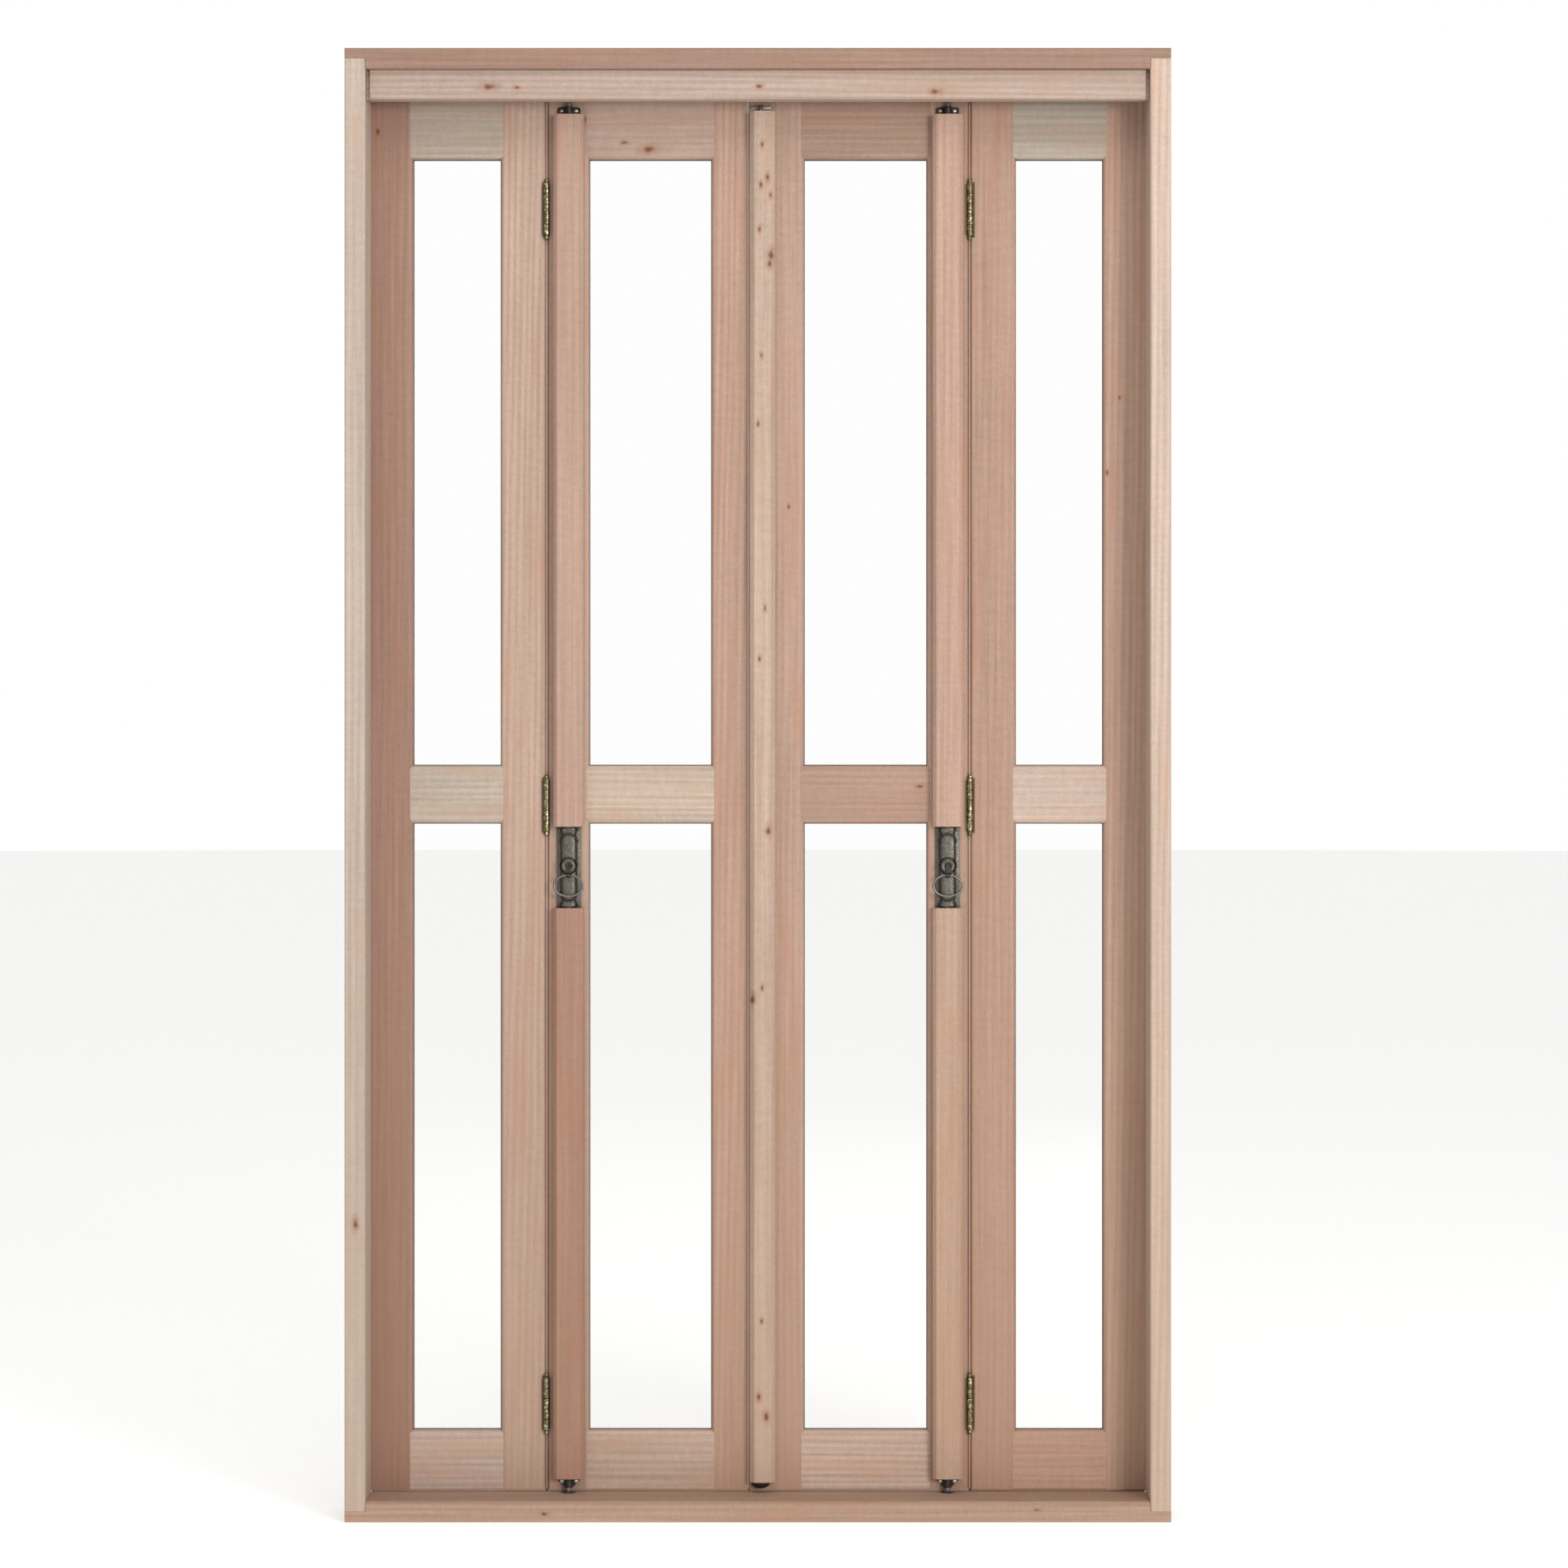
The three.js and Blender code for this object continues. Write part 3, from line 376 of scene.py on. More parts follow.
def metal(name, colour, tarnish_and_shade, rough, cell, dent, tarnish_share=0.5, painted_side_shade=0.0, painted_highlight=None):
    """A metal: spots of tarnish, cell millimetres across, a fine uneven surface, painted shade on the sides."""
    material, tree, shader = new_material(name)
    place = add(tree, "ShaderNodeTexCoord").outputs["Object"]
    spots = noise(tree, place, per_size(cell, cell), 5, 0.6)

    def ramp(start, end, low, high, value=spots):
        limits = {"Value": value, "From Min": start, "From Max": end, "To Min": low, "To Max": high}
        return add(tree, "ShaderNodeMapRange", limits).outputs[0]

    shade = mixed(tree, ramp(*TARNISHED, 0, tarnish_share), colour, linear(tarnish_and_shade))
    # Painted highlights: bright spots where the noise is high.
    if painted_highlight:
        shade = mixed(tree, ramp(*PAINTED_HIGHLIGHT_SPOTS, 0, 0.9), shade, linear(painted_highlight))
    # Painted shade: the sides, turned away from the front and back, are darkened towards the tarnish colour.
    normal = add(tree, "ShaderNodeTexCoord").outputs["Normal"]
    front = add(tree, "ShaderNodeSeparateXYZ", {0: normal}).outputs["Y"]
    front = add(tree, "ShaderNodeMath", {0: front}, operation="ABSOLUTE").outputs[0]
    shade = mixed(tree, ramp(SIDE_STARTS, SIDE_ENDS, 0, painted_side_shade, front), shade, linear(tarnish_and_shade))
    tree.links.new(shade, shader.inputs["Base Color"])
    shader.inputs["Metallic"].default_value = 1.0
    tree.links.new(ramp(0.3, 0.7, rough + 0.16, rough), shader.inputs["Roughness"])
    bump = add(tree, "ShaderNodeBump", {"Height": spots, "Strength": 0.5, "Distance": dent * MM})
    tree.links.new(bump.outputs[0], shader.inputs["Normal"])
    return material


def aged_brass():
    """Cast brass that has browned in the air, with spots of painted highlight and painted shade on its sides."""
    return metal("aged_brass", colours().brass, "#4b442c", 0.34, 4.2, 0.12, 0.6, 0.7, "#e2dec6")


def antique_iron():
    """Sand-cast iron, waxed: grey on the high parts, brown-black in the low spots, painted shade on its sides."""
    return metal("antique_cast_iron", colours().iron, "#302c26", 0.44, 1.8, 0.18, 0.65, 0.9)


def ring_iron():
    """The same iron on the ring, lighter: bright on the front of the bar, with painted shade on its sides and
    inside it.
    """
    return metal("lighter_iron_with_painted_shade", linear("#8c877d"), "#2a2722", 0.34, 1.6, 0.08, 0.4, 0.95)


def dark_iron_and_painted_shadow():
    """The same iron, nearly black: for small dark fittings, and for the pieces of painted shadow round the bolts'
    barrels and knobs.
    """
    return metal("nearly_black_iron_and_painted_shadow", linear("#4b4842"), "#24211d", 0.45, 3, 0.15)


def drawn_steel():
    """Cold-drawn steel rod, smooth and grey."""
    return metal("drawn_steel", colours().steel, "#6b6a66", 0.28, 20, 0.05, 0.4)


def zinc_plate():
    """Dull zinc-plated sheet, pale grey with cloudy crystals, and painted shade on its edges."""
    return metal("zinc_plated_sheet", linear("#a9aba4"), "#6f706b", 0.42, 3, 0.05, 0.5, 0.5)


def bright_steel():
    """Zinc-plated screw heads, which catch the light."""
    return metal("zinc_plated_steel", linear("#d8d6d0"), "#8e8c86", 0.24, 2, 0.05)


def painted_edge_shadow():
    """Dark grey, matt and slightly rippled: painted shadow along the edge of each opening, as a thin strip."""
    material, tree, shader = new_material("butyl_glazing_tape")
    place = add(tree, "ShaderNodeTexCoord").outputs["Object"]
    ripple = noise(tree, place, per_size(4, 4), 3)
    shade = mixed(tree, ripple, linear("#3f3833"), linear("#544b44"))
    tree.links.new(shade, shader.inputs["Base Color"])
    shader.inputs["Roughness"].default_value = 0.75
    bump = {"Height": ripple, "Strength": 0.4, "Distance": 0.2 * MM}
    tree.links.new(add(tree, "ShaderNodeBump", bump).outputs[0], shader.inputs["Normal"])
    return material


def float_glass():
    """Clear float glass: nothing shows but a faint reflection."""
    material, _, shader = new_material("clear_float_glass")
    shader.inputs["Base Color"].default_value = (1, 1, 1, 1)
    shader.inputs["Roughness"].default_value = 0.0
    shader.inputs["IOR"].default_value = 1.5
    shader.inputs["Transmission Weight"].default_value = 1.0
    return material


def pale_floor():
    """Painted pale floor, matt and even."""
    material, _, shader = new_material("pale_matt_floor")
    shader.inputs["Base Color"].default_value = (*colours().floor, 1)
    shader.inputs["Roughness"].default_value = 0.9
    shader.inputs["Emission Color"].default_value = (1, 1, 1, 1)
    shader.inputs["Emission Strength"].default_value = 0.36
    return material


FINISHES = {}


def finish(maker):
    """The material of a maker function, made once."""
    if maker not in FINISHES:
        FINISHES[maker] = maker()
    return FINISHES[maker]


# Shapes


def bevel(shape, edges, width, segments=2, clamp=False):
    """Eases edges with a round of so many flats, or cuts them off if one."""
    bmesh.ops.bevel(
        shape,
        geom=edges,
        offset=width,
        affect="EDGES",
        segments=segments,
        profile=0.5,
        material=-1,
        clamp_overlap=clamp,
    )


def block(shape, low, high, ease=0.0):
    """A block between two corners, with its edges eased."""
    low, high = Vector(low), Vector(high)
    made = bmesh.ops.create_cube(shape, size=1.0)
    bmesh.ops.scale(shape, vec=high - low, verts=made["verts"])
    bmesh.ops.translate(shape, vec=(low + high) / 2, verts=made["verts"])
    if ease:
        bevel(shape, list({edge for vert in made["verts"] for edge in vert.link_edges}), ease)


AXES = {"X": Vector((1, 0, 0)), "Y": Vector((0, 1, 0)), "Z": Vector((0, 0, 1))}
OUTWARD = {"X": Vector((0, 0, 1)), "Y": Vector((1, 0, 0)), "Z": Vector((1, 0, 0))}


def turn(shape, profile, centre, axis="Z"):
    """A turned solid or tube. The profile's points are (radius, distance along the axis)."""
    centre, along, out = Vector(centre), AXES[axis], OUTWARD[axis]
    verts = [shape.verts.new(centre + out * radius + along * far) for radius, far in profile]
    edges = [shape.edges.new(pair) for pair in zip(verts, verts[1:])]
    if profile[0][0] and profile[-1][0]:
        edges.append(shape.edges.new((verts[-1], verts[0])))
    before = set(shape.faces)
    bmesh.ops.spin(
        shape,
        geom=verts + edges,
        cent=centre,
        axis=along,
        angle=2 * math.pi,
        steps=sizes().turns,
        use_merge=True,
    )
    faces = [face for face in shape.faces if face not in before]
    new_verts = list({vert for face in faces for vert in face.verts})
    bmesh.ops.remove_doubles(shape, verts=new_verts, dist=0.002 * MM)
    return [vert for vert in new_verts if vert.is_valid]


def turned(shape, profile, centre, axis="Z"):
    """The same, from a profile in millimetres."""
    return turn(shape, [(radius * MM, far * MM) for radius, far in profile], centre, axis)


def only(kind, items):
    return [item for item in items if isinstance(item, kind)]


def slice_off(shape, verts, point, normal):
    """Cuts away what lies beyond a plane and closes the cut."""
    faces = {face for vert in verts for face in vert.link_faces}
    edges = {edge for vert in verts for edge in vert.link_edges}
    cut = bmesh.ops.bisect_plane(
        shape,
        geom=[*verts, *edges, *faces],
        dist=1e-7,
        plane_co=point,
        plane_no=normal,
        clear_outer=True,
    )
    rim = only(BMEdge, cut["geom_cut"])
    bmesh.ops.holes_fill(shape, edges=rim, sides=0)


def place_verts(shape, verts, place, facing):
    """Turns verts that face +Z to face another way, and moves them to their place."""
    turning = AXES["Z"].rotation_difference(facing).to_matrix().to_4x4()
    bmesh.ops.transform(shape, matrix=Matrix.Translation(place) @ turning, verts=verts)


def screw(shape, place, facing, radius):
    """A slotted screw head, flat behind and slightly domed in front."""
    made = bmesh.ops.create_circle(shape, cap_ends=True, segments=20, radius=radius)
    base = made["verts"][0].link_faces[0]
    rim = bmesh.ops.extrude_face_region(shape, geom=[base])
    top = only(BMFace, rim["geom"])[0]
    bmesh.ops.translate(shape, vec=(0, 0, radius * 0.28), verts=list(top.verts))
    dome = bmesh.ops.inset_region(shape, faces=[top], thickness=radius * 0.28, depth=radius * 0.12)
    whole = set(made["verts"]) | set(top.verts) | {v for face in dome["faces"] for v in face.verts}
    for side in (-1, 1):
        geom = [top, *top.verts, *top.edges]
        cut = bmesh.ops.bisect_plane(
            shape,
            geom=geom,
            dist=1e-8,
            plane_co=(0, side * radius * 0.16, 0),
            plane_no=(0, side, 0),
        )
        whole |= set(only(BMVert, cut["geom"]))
        middle = only(BMFace, cut["geom"])
        top = min(middle, key=lambda face: abs(face.calc_center_median().y))
    slot = bmesh.ops.extrude_face_region(shape, geom=[top])
    sunk = only(BMVert, slot["geom"])
    bmesh.ops.delete(shape, geom=[top], context="FACES_ONLY")
    bmesh.ops.translate(shape, vec=(0, 0, -radius * 0.22), verts=sunk)
    whole |= set(sunk)
    place_verts(shape, [vert for vert in whole if vert.is_valid], place, facing)


def new_object(name, data):
    made = bpy.data.objects.new(name, data)
    bpy.context.scene.collection.objects.link(made)
    return made


def mesh_object(name, shape, material):
    mesh = bpy.data.meshes.new(name)
    shape.to_mesh(mesh)
    shape.free()
    mesh.materials.append(material)
    return new_object(name, mesh)


def settle(name, shape, material, body, smooth=35, replaces=()):
    """Makes a shape a finished piece on a body of the frame."""
    piece = mesh_object(name, shape, material)
    piece.data.shade_smooth()
    piece.data.set_sharp_from_angle(angle=math.radians(smooth))
    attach(piece, body)
    if replaces:
        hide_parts(*replaces)
    return piece


def made_piece(name, shape, material, body, smooth=35, replaces=()):
    """A newly modelled piece: its faces are turned outwards first."""
    bmesh.ops.recalc_face_normals(shape, faces=list(shape.faces))
    return settle(name, shape, material, body, smooth, replaces)


def merged_copy(node):
    """A CAD node's shape with its triangles joined and its flats made whole."""
    shape = bmesh.new()
    shape.from_mesh(frame["nodes"][node].data)
    bmesh.ops.remove_doubles(shape, verts=list(shape.verts), dist=0.01 * MM)
    bmesh.ops.dissolve_limit(
        shape,
        angle_limit=math.radians(0.3),
        verts=list(shape.verts),
        edges=list(shape.edges),
    )
    return shape


def ease_arrises(shape, width, longest):
    """Rounds the sharp outer edges that are longer than a length."""
    edges = [
        edge
        for edge in shape.edges
        if len(edge.link_faces) == 2
        and edge.calc_length() > longest
        and edge.is_convex
        and edge.calc_face_angle(0) > math.radians(50)
    ]
    bevel(shape, edges, width, clamp=True)


def finish_node(node, material):
    """Stands a smooth copy of a CAD node in its place."""
    name, body, slot = f"{node}_finished", BODY_OF[node], SLOT_OF[node]
    settle(name, merged_copy(node), material, body, replaces=(node,))


# Boards, glass and beads


def make_boards():
    for seed, name in enumerate(sorted(BOARD_TONES)):
        low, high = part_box(name)
        along = "X" if high.x - low.x > high.z - low.z else "Z"
        shape = merged_copy(name)
        ease_arrises(shape, sizes().arris, 100 * MM)
        board = settle(
            f"{name}_board",
            shape,
            planed_hardwood(name, along, seed + 1),
            BODY_OF[name],
            replaces=(name,),
        )
        # The wide flat faces stay flat in the light, and only the rounds turn it.
        board.modifiers.new("flat_faces", "WEIGHTED_NORMAL").keep_sharp = True


def make_glass():
    for name, node in frame["nodes"].items():
        if name.endswith("_pane"):
            node.data.materials.clear()
            node.data.materials.append(finish(float_glass))


def openings():
    """Each opening's leaf and level, the rail over it, its corners and its pane's box."""
    for leaf in LEAVES:
        for level, under, over in (
            ("upper", "mid_rail", "top_rail"),
            ("lower", "bottom_rail", "mid_rail"),
        ):
            pane_low, pane_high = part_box(f"{leaf}_{level}_pane")
            z0, z1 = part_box(f"{leaf}_{under}")[1].z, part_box(f"{leaf}_{over}")[0].z
            # A pane stands as far into its stiles as into its rails.
            hidden = (pane_high.z - pane_low.z - (z1 - z0)) / 2
            low = Vector((pane_low.x + hidden, pane_low.y, z0))
            high = Vector((pane_high.x - hidden, pane_high.y, z1))
            yield leaf, level, over, hidden, low, high


def mitred_frame(low, high, width):
    """A flat frame of one width with mitred corners, from y of `low` back to y of `high`."""
    shape = bmesh.new()
    made = bmesh.ops.create_grid(shape, x_segments=1, y_segments=1, size=0.5)
    upright = Matrix.Rotation(math.radians(90), 4, "X")
    bmesh.ops.transform(shape, matrix=upright, verts=made["verts"])
    bmesh.ops.scale(shape, vec=(high.x - low.x, 1, high.z - low.z), verts=made["verts"])
    middle = (low + high) / 2
    bmesh.ops.translate(shape, vec=(middle.x, low.y, middle.z), verts=made["verts"])
    opening = list(shape.faces)
    bmesh.ops.inset_region(shape, faces=opening, thickness=width, use_boundary=True)
    bmesh.ops.delete(shape, geom=opening, context="FACES_ONLY")
    deep = bmesh.ops.extrude_face_region(shape, geom=list(shape.faces))
    moved = only(BMVert, deep["geom"])
    bmesh.ops.translate(shape, vec=(0, high.y - low.y, 0), verts=moved)
    return shape


# The rebate is this much wider than the pane's hidden edge, so that the glass has room.
REBATE_SHARE = 1.375


def make_beads():
    """Mitred beads that hold each pane, behind it."""
    fit = sizes().fit
    for leaf, level, over, hidden, low, high in openings():
        rebate = hidden * REBATE_SHARE - fit
        back = high.y + fit
        low = Vector((low.x - rebate, back, low.z - rebate))
        high = high + Vector((rebate, 0, rebate))
        high.y = back + sizes().bead_depth
        width = rebate - 2 * fit
        shape = mitred_frame(low, high, width)
        inner = [
            edge
            for edge in shape.edges
            if all(
                abs(v.co.y - high.y) < 1e-6
                and low.x + width / 2 < v.co.x < high.x - width / 2
                and low.z + width / 2 < v.co.z < high.z - width / 2
                for v in edge.verts
            )
        ]
        bevel(shape, inner, sizes().bead_round, 5)
        wood = bpy.data.materials[f"planed_hardwood_{leaf}_{over}"]
        made_piece(f"{leaf}_{level}_beads", shape, wood, leaf)


# Painted shadow along each opening's edge: the dark strip's width and thickness.
EDGE_SHADOW_WIDTH, EDGE_SHADOW_THICKNESS = 1.5 * MM, 1.6 * MM


def make_edge_shadow_strips():
    """A dark strip that shows as a thin line round each opening, in front of the glass: painted shadow."""
    clear = sizes().fit / 10
    for leaf, level, _, _, low, high in openings():
        front = low.y - sizes().fit / 3
        low, high = low + Vector((clear, 0, clear)), high - Vector((clear, 0, clear))
        low.y, high.y = front - EDGE_SHADOW_THICKNESS, front
        shape = mitred_frame(low, high, EDGE_SHADOW_WIDTH)
        made_piece(f"{leaf}_{level}_tape", shape, finish(painted_edge_shadow), leaf)


TONGUE_DEPTH, THIN_TONGUE_DEPTH = 6 * MM, 4 * MM
# How far behind the face each kind of tongue stands.
FOLD_TONGUE_IN, MEETING_TONGUE_IN = 1.2 * MM, 0.6 * MM
VALANCE_TONGUE_IN, FOOT_TONGUE_IN = 6 * MM, 2 * MM
FLUSH = 0.02 * MM


def tongue(name, low, high, body, stile):
    """A thin strip of a stile's own wood."""
    shape = bmesh.new()
    block(shape, low, high, sizes().fit)
    made_piece(name, shape, bpy.data.materials[f"planed_hardwood_{stile}"], body)


def make_tongues():
    """Narrow tongues that close the gap at each fold, at the meeting line and under each leaf."""
    fit = sizes().fit
    for hand, side in HANDS.items():
        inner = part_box(f"{hand}_inner_fold_stile")
        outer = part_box(f"{hand}_outer_fold_stile")
        x0, x1 = sorted((inner[int(side > 0)].x, outer[int(side < 0)].x))
        x0, x1 = (x0 + fit, x1 - FLUSH) if side < 0 else (x0 + FLUSH, x1 - fit)
        y = inner[0].y + FOLD_TONGUE_IN
        low, high = (x0, y, inner[0].z + fit), (x1, y + TONGUE_DEPTH, inner[1].z - fit)
        tongue(f"{hand}_fold_tongue", low, high, f"{hand}_inner", f"{hand}_inner_fold_stile")
    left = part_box("left_inner_meeting_stile")
    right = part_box("right_inner_meeting_stile")
    y = right[0].y + MEETING_TONGUE_IN
    low = (left[1].x + fit, y, right[0].z + fit)
    high = (right[0].x - FLUSH, y + THIN_TONGUE_DEPTH, right[1].z - fit)
    tongue("meeting_tongue", low, high, "right_inner", "right_inner_meeting_stile")
    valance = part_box("valance")
    y = valance[0].y + VALANCE_TONGUE_IN
    for hand, x0, x1 in (
        ("left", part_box("left_jamb")[1].x + fit, valance[0].x - FLUSH),
        ("right", valance[1].x + FLUSH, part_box("right_jamb")[0].x - fit),
    ):
        if x1 - x0 > fit:
            low = (x0, y, valance[0].z + fit)
            high = (x1, y + THIN_TONGUE_DEPTH, valance[1].z - fit)
            tongue(f"{hand}_valance_tongue", low, high, "frame", "valance")
    sill_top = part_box("sill")[1].z
    for leaf in LEAVES:
        stiles = [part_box(name) for name in BODIES[leaf] if name.endswith("stile")]
        x0, x1 = min(low.x for low, high in stiles), max(high.x for low, high in stiles)
        y, foot = stiles[0][0].y + FOOT_TONGUE_IN, stiles[0][0].z
        low = (x0 + fit, y, sill_top + fit * 2)
        high = (x1 - fit, y + TONGUE_DEPTH, foot - FLUSH)
        tongue(f"{leaf}_foot_tongue", low, high, leaf, f"{leaf}_bottom_rail")


# Hinges


HINGE_HALF_HEIGHT = 38 * MM
KNUCKLE_STEP = 2 * HINGE_HALF_HEIGHT / 5
HINGE_BORE = 2.2 * MM
HINGE_PLATE_THICK = 2 * MM
HINGE_PLATE_REACH = 31 * MM
HINGE_SCREW_HEIGHTS = (-26 * MM, 0, 26 * MM)


def hinge_other_half(name, pivot, toward, across, body):
    """The half with the second and fourth knuckles. Its plate reaches along Y from the pivot by
    `toward`, and lies on the `across` side of it."""
    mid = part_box("left_fold_hinge_mid")
    plate_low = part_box("left_inner_fold_stile")[0].x - PIVOTS["left_fold_hinge"].x
    radius = (mid[1].x - mid[0].x) / 2
    clear = radius + 0.6 * MM
    near, far = plate_low, plate_low + HINGE_PLATE_THICK
    shape = bmesh.new()

    def slab(y0, y1, z0, z1):
        xs = sorted((across * near, across * far))
        ys = sorted((toward * y0, toward * y1))
        low = pivot + Vector((xs[0], ys[0], z0))
        high = pivot + Vector((xs[1], ys[1], z1))
        block(shape, low, high, 0.25 * MM)

    slab(clear, HINGE_PLATE_REACH, -HINGE_HALF_HEIGHT, HINGE_HALF_HEIGHT)
    for k in (1, 3):
        base = -HINGE_HALF_HEIGHT + k * KNUCKLE_STEP
        low, high = base + 0.2 * MM, base + KNUCKLE_STEP - 0.2 * MM
        slab(HINGE_BORE + 0.4 * MM, clear + 1 * MM, low, high)
        ease = 0.5 * MM
        knuckle = [
            (HINGE_BORE, low), (radius - ease, low), (radius, low + ease),
            (radius, high - ease), (radius - ease, high), (HINGE_BORE, high),
        ]
        turn(shape, knuckle, pivot)
    for z in HINGE_SCREW_HEIGHTS:
        y = toward * (HINGE_PLATE_REACH * 0.62)
        place = pivot + Vector((across * near, y, z))
        screw(shape, place, Vector((-across, 0, 0)), sizes().screw * 0.8)
    made_piece(name, shape, finish(aged_brass), body)


def make_hinges():
    brass = finish(aged_brass)
    for hand, side in HANDS.items():
        fold = PIVOTS[f"{hand}_fold_hinge"]
        jamb = PIVOTS[f"{hand}_jamb_hinge"]
        for place in ("top", "mid", "bottom"):
            node = f"{hand}_fold_hinge_{place}"
            finish_node(node, brass)
            low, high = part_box(node)
            height = Vector((0, 0, (low.z + high.z) / 2))
            hinge_other_half(f"{node}_inner_half", fold + height, 1, -side, f"{hand}_inner")
            name = f"{hand}_jamb_hinge_{place}"
            hinge_other_half(f"{name}_leaf_half", jamb + height, -1, -side, f"{hand}_outer")
            if place != "mid":
                finish_node(name, brass)
                continue
            top = f"{hand}_jamb_hinge_top"
            top_low, top_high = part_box(top)
            shape = merged_copy(top)
            drop = height.z - (top_low.z + top_high.z) / 2
            bmesh.ops.translate(shape, vec=(0, 0, drop), verts=list(shape.verts))
            settle(name, shape, brass, "frame")


# Bolts


ROD_RADIUS = 4 * MM
# A bolt's back plate, the dark arched beads of painted shadow round its barrel, and its screws, in
# from the plate's ends.
PLATE_THICK = 2.7 * MM
ARCH_RADIUS, ARCH_BEAD, ARCH_IN = 12.6 * MM, 1.5 * MM, 23 * MM
ARCH_DEPTH, ARCH_REACH = 11.6 * MM, 13.7 * MM
PLATE_SCREW, PLATE_SCREW_OUT, PLATE_SCREW_IN = 2.3 * MM, 14.2 * MM, 4.5 * MM


def arch(shape, centre, radius, bead, out):
    """A round bead bent to a half ring round the Y axis, arched up if out is 1 and down if -1."""
    before = set(shape.verts)
    made = bmesh.ops.create_circle(shape, cap_ends=True, segments=12, radius=bead)
    bmesh.ops.translate(shape, vec=(radius, 0, 0), verts=made["verts"])
    disc = made["verts"][0].link_faces[0]
    bmesh.ops.spin(
        shape,
        geom=[disc, *disc.edges, *disc.verts],
        axis=(0, -out, 0),
        angle=math.pi,
        steps=24,
    )
    verts = [vert for vert in shape.verts if vert not in before]
    bmesh.ops.translate(shape, vec=centre, verts=verts)
    return verts


def flattened(depth):
    """The depth of a half-round barrel's face, 0 to 1, pushed out towards a flat front."""
    return 1 - (1 - depth) ** 2


def make_latch_housing(hand):
    """The back plate, and the half-round barrel between two arched caps."""
    node = f"{hand}_latch_housing"
    low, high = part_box(node)
    middle = (low + high) / 2
    plate_front = high.y - PLATE_THICK
    half = (high.z - low.z) / 2
    shape = bmesh.new()
    block(shape, (low.x, plate_front, low.z), high, 0.6 * MM)
    # Radius, and distance in from the plate's ends: a flared cap, a waist and the barrel's dome.
    end = [
        (0, 0.2), (9.8, 0.2), (11.6, 1.0), (12.3, 2.8), (12.2, 5.4), (11.4, 8.0),
        (10.7, 10.5), (10.6, 12.5), (11.6, 14.5), (12.2, 17.5), (12.5, 21.5),
    ]
    upper = [(radius * MM, half - far * MM) for radius, far in end]
    lower = [(radius, -z) for radius, z in reversed(upper)]
    centre = Vector((middle.x, plate_front, middle.z))
    verts = turn(shape, upper + lower, centre)
    # The barrel is flatter in front than a half circle.
    for vert in verts:
        out = Vector((vert.co.x - centre.x, vert.co.y - centre.y))
        if out.y < 0 and out.length:
            vert.co.y = centre.y - out.length * flattened(-out.y / out.length)
    slice_off(shape, verts, centre + Vector((0, 1 * MM, 0)), (0, 1, 0))
    # Painted shadow: a nearly black arched bead stands for the shaded groove round each end of the barrel,
    # down to the plate on both sides.
    front = plate_front / MM
    painted_shadow_pieces = bmesh.new()
    for out in (-1, 1):
        seat = Vector((middle.x, plate_front - ARCH_DEPTH, middle.z + out * (half - ARCH_IN)))
        for vert in arch(painted_shadow_pieces, seat, ARCH_RADIUS, ARCH_BEAD, out):
            across = min(abs(vert.co.x - middle.x) / ARCH_REACH, 1.0)
            vert.co.y += ARCH_DEPTH * (1 - flattened(math.sqrt(1 - across * across)))
    # A round hood under the knob, hollow in front, nearly black: painted shadow round the knob.
    knob = PIVOTS[f"{hand}_knob_turn"]
    face = low.y / MM
    hood = [
        (4.6, face + 2.4), (11.2, face + 2.4), (11.6, face + 1.0), (12.4, face + 0.6),
        (13.2, face + 1.2), (13.6, face + 2.6), (13.6, front + 0.5), (4.6, front + 0.5),
    ]
    turned(painted_shadow_pieces, hood, Vector((knob.x, 0, knob.z)), "Y")
    made_piece(f"{node}_hollows", painted_shadow_pieces, finish(dark_iron_and_painted_shadow), f"{hand}_inner")
    for x in (-1, 1):
        for z in (-1, 1):
            up = z * (half - PLATE_SCREW_IN)
            place = Vector((middle.x + x * PLATE_SCREW_OUT, plate_front, middle.z + up))
            screw(shape, place, Vector((0, -1, 0)), PLATE_SCREW)
    cast = finish(antique_iron)
    made_piece(f"{node}_cast", shape, cast, f"{hand}_inner", replaces=(node,))


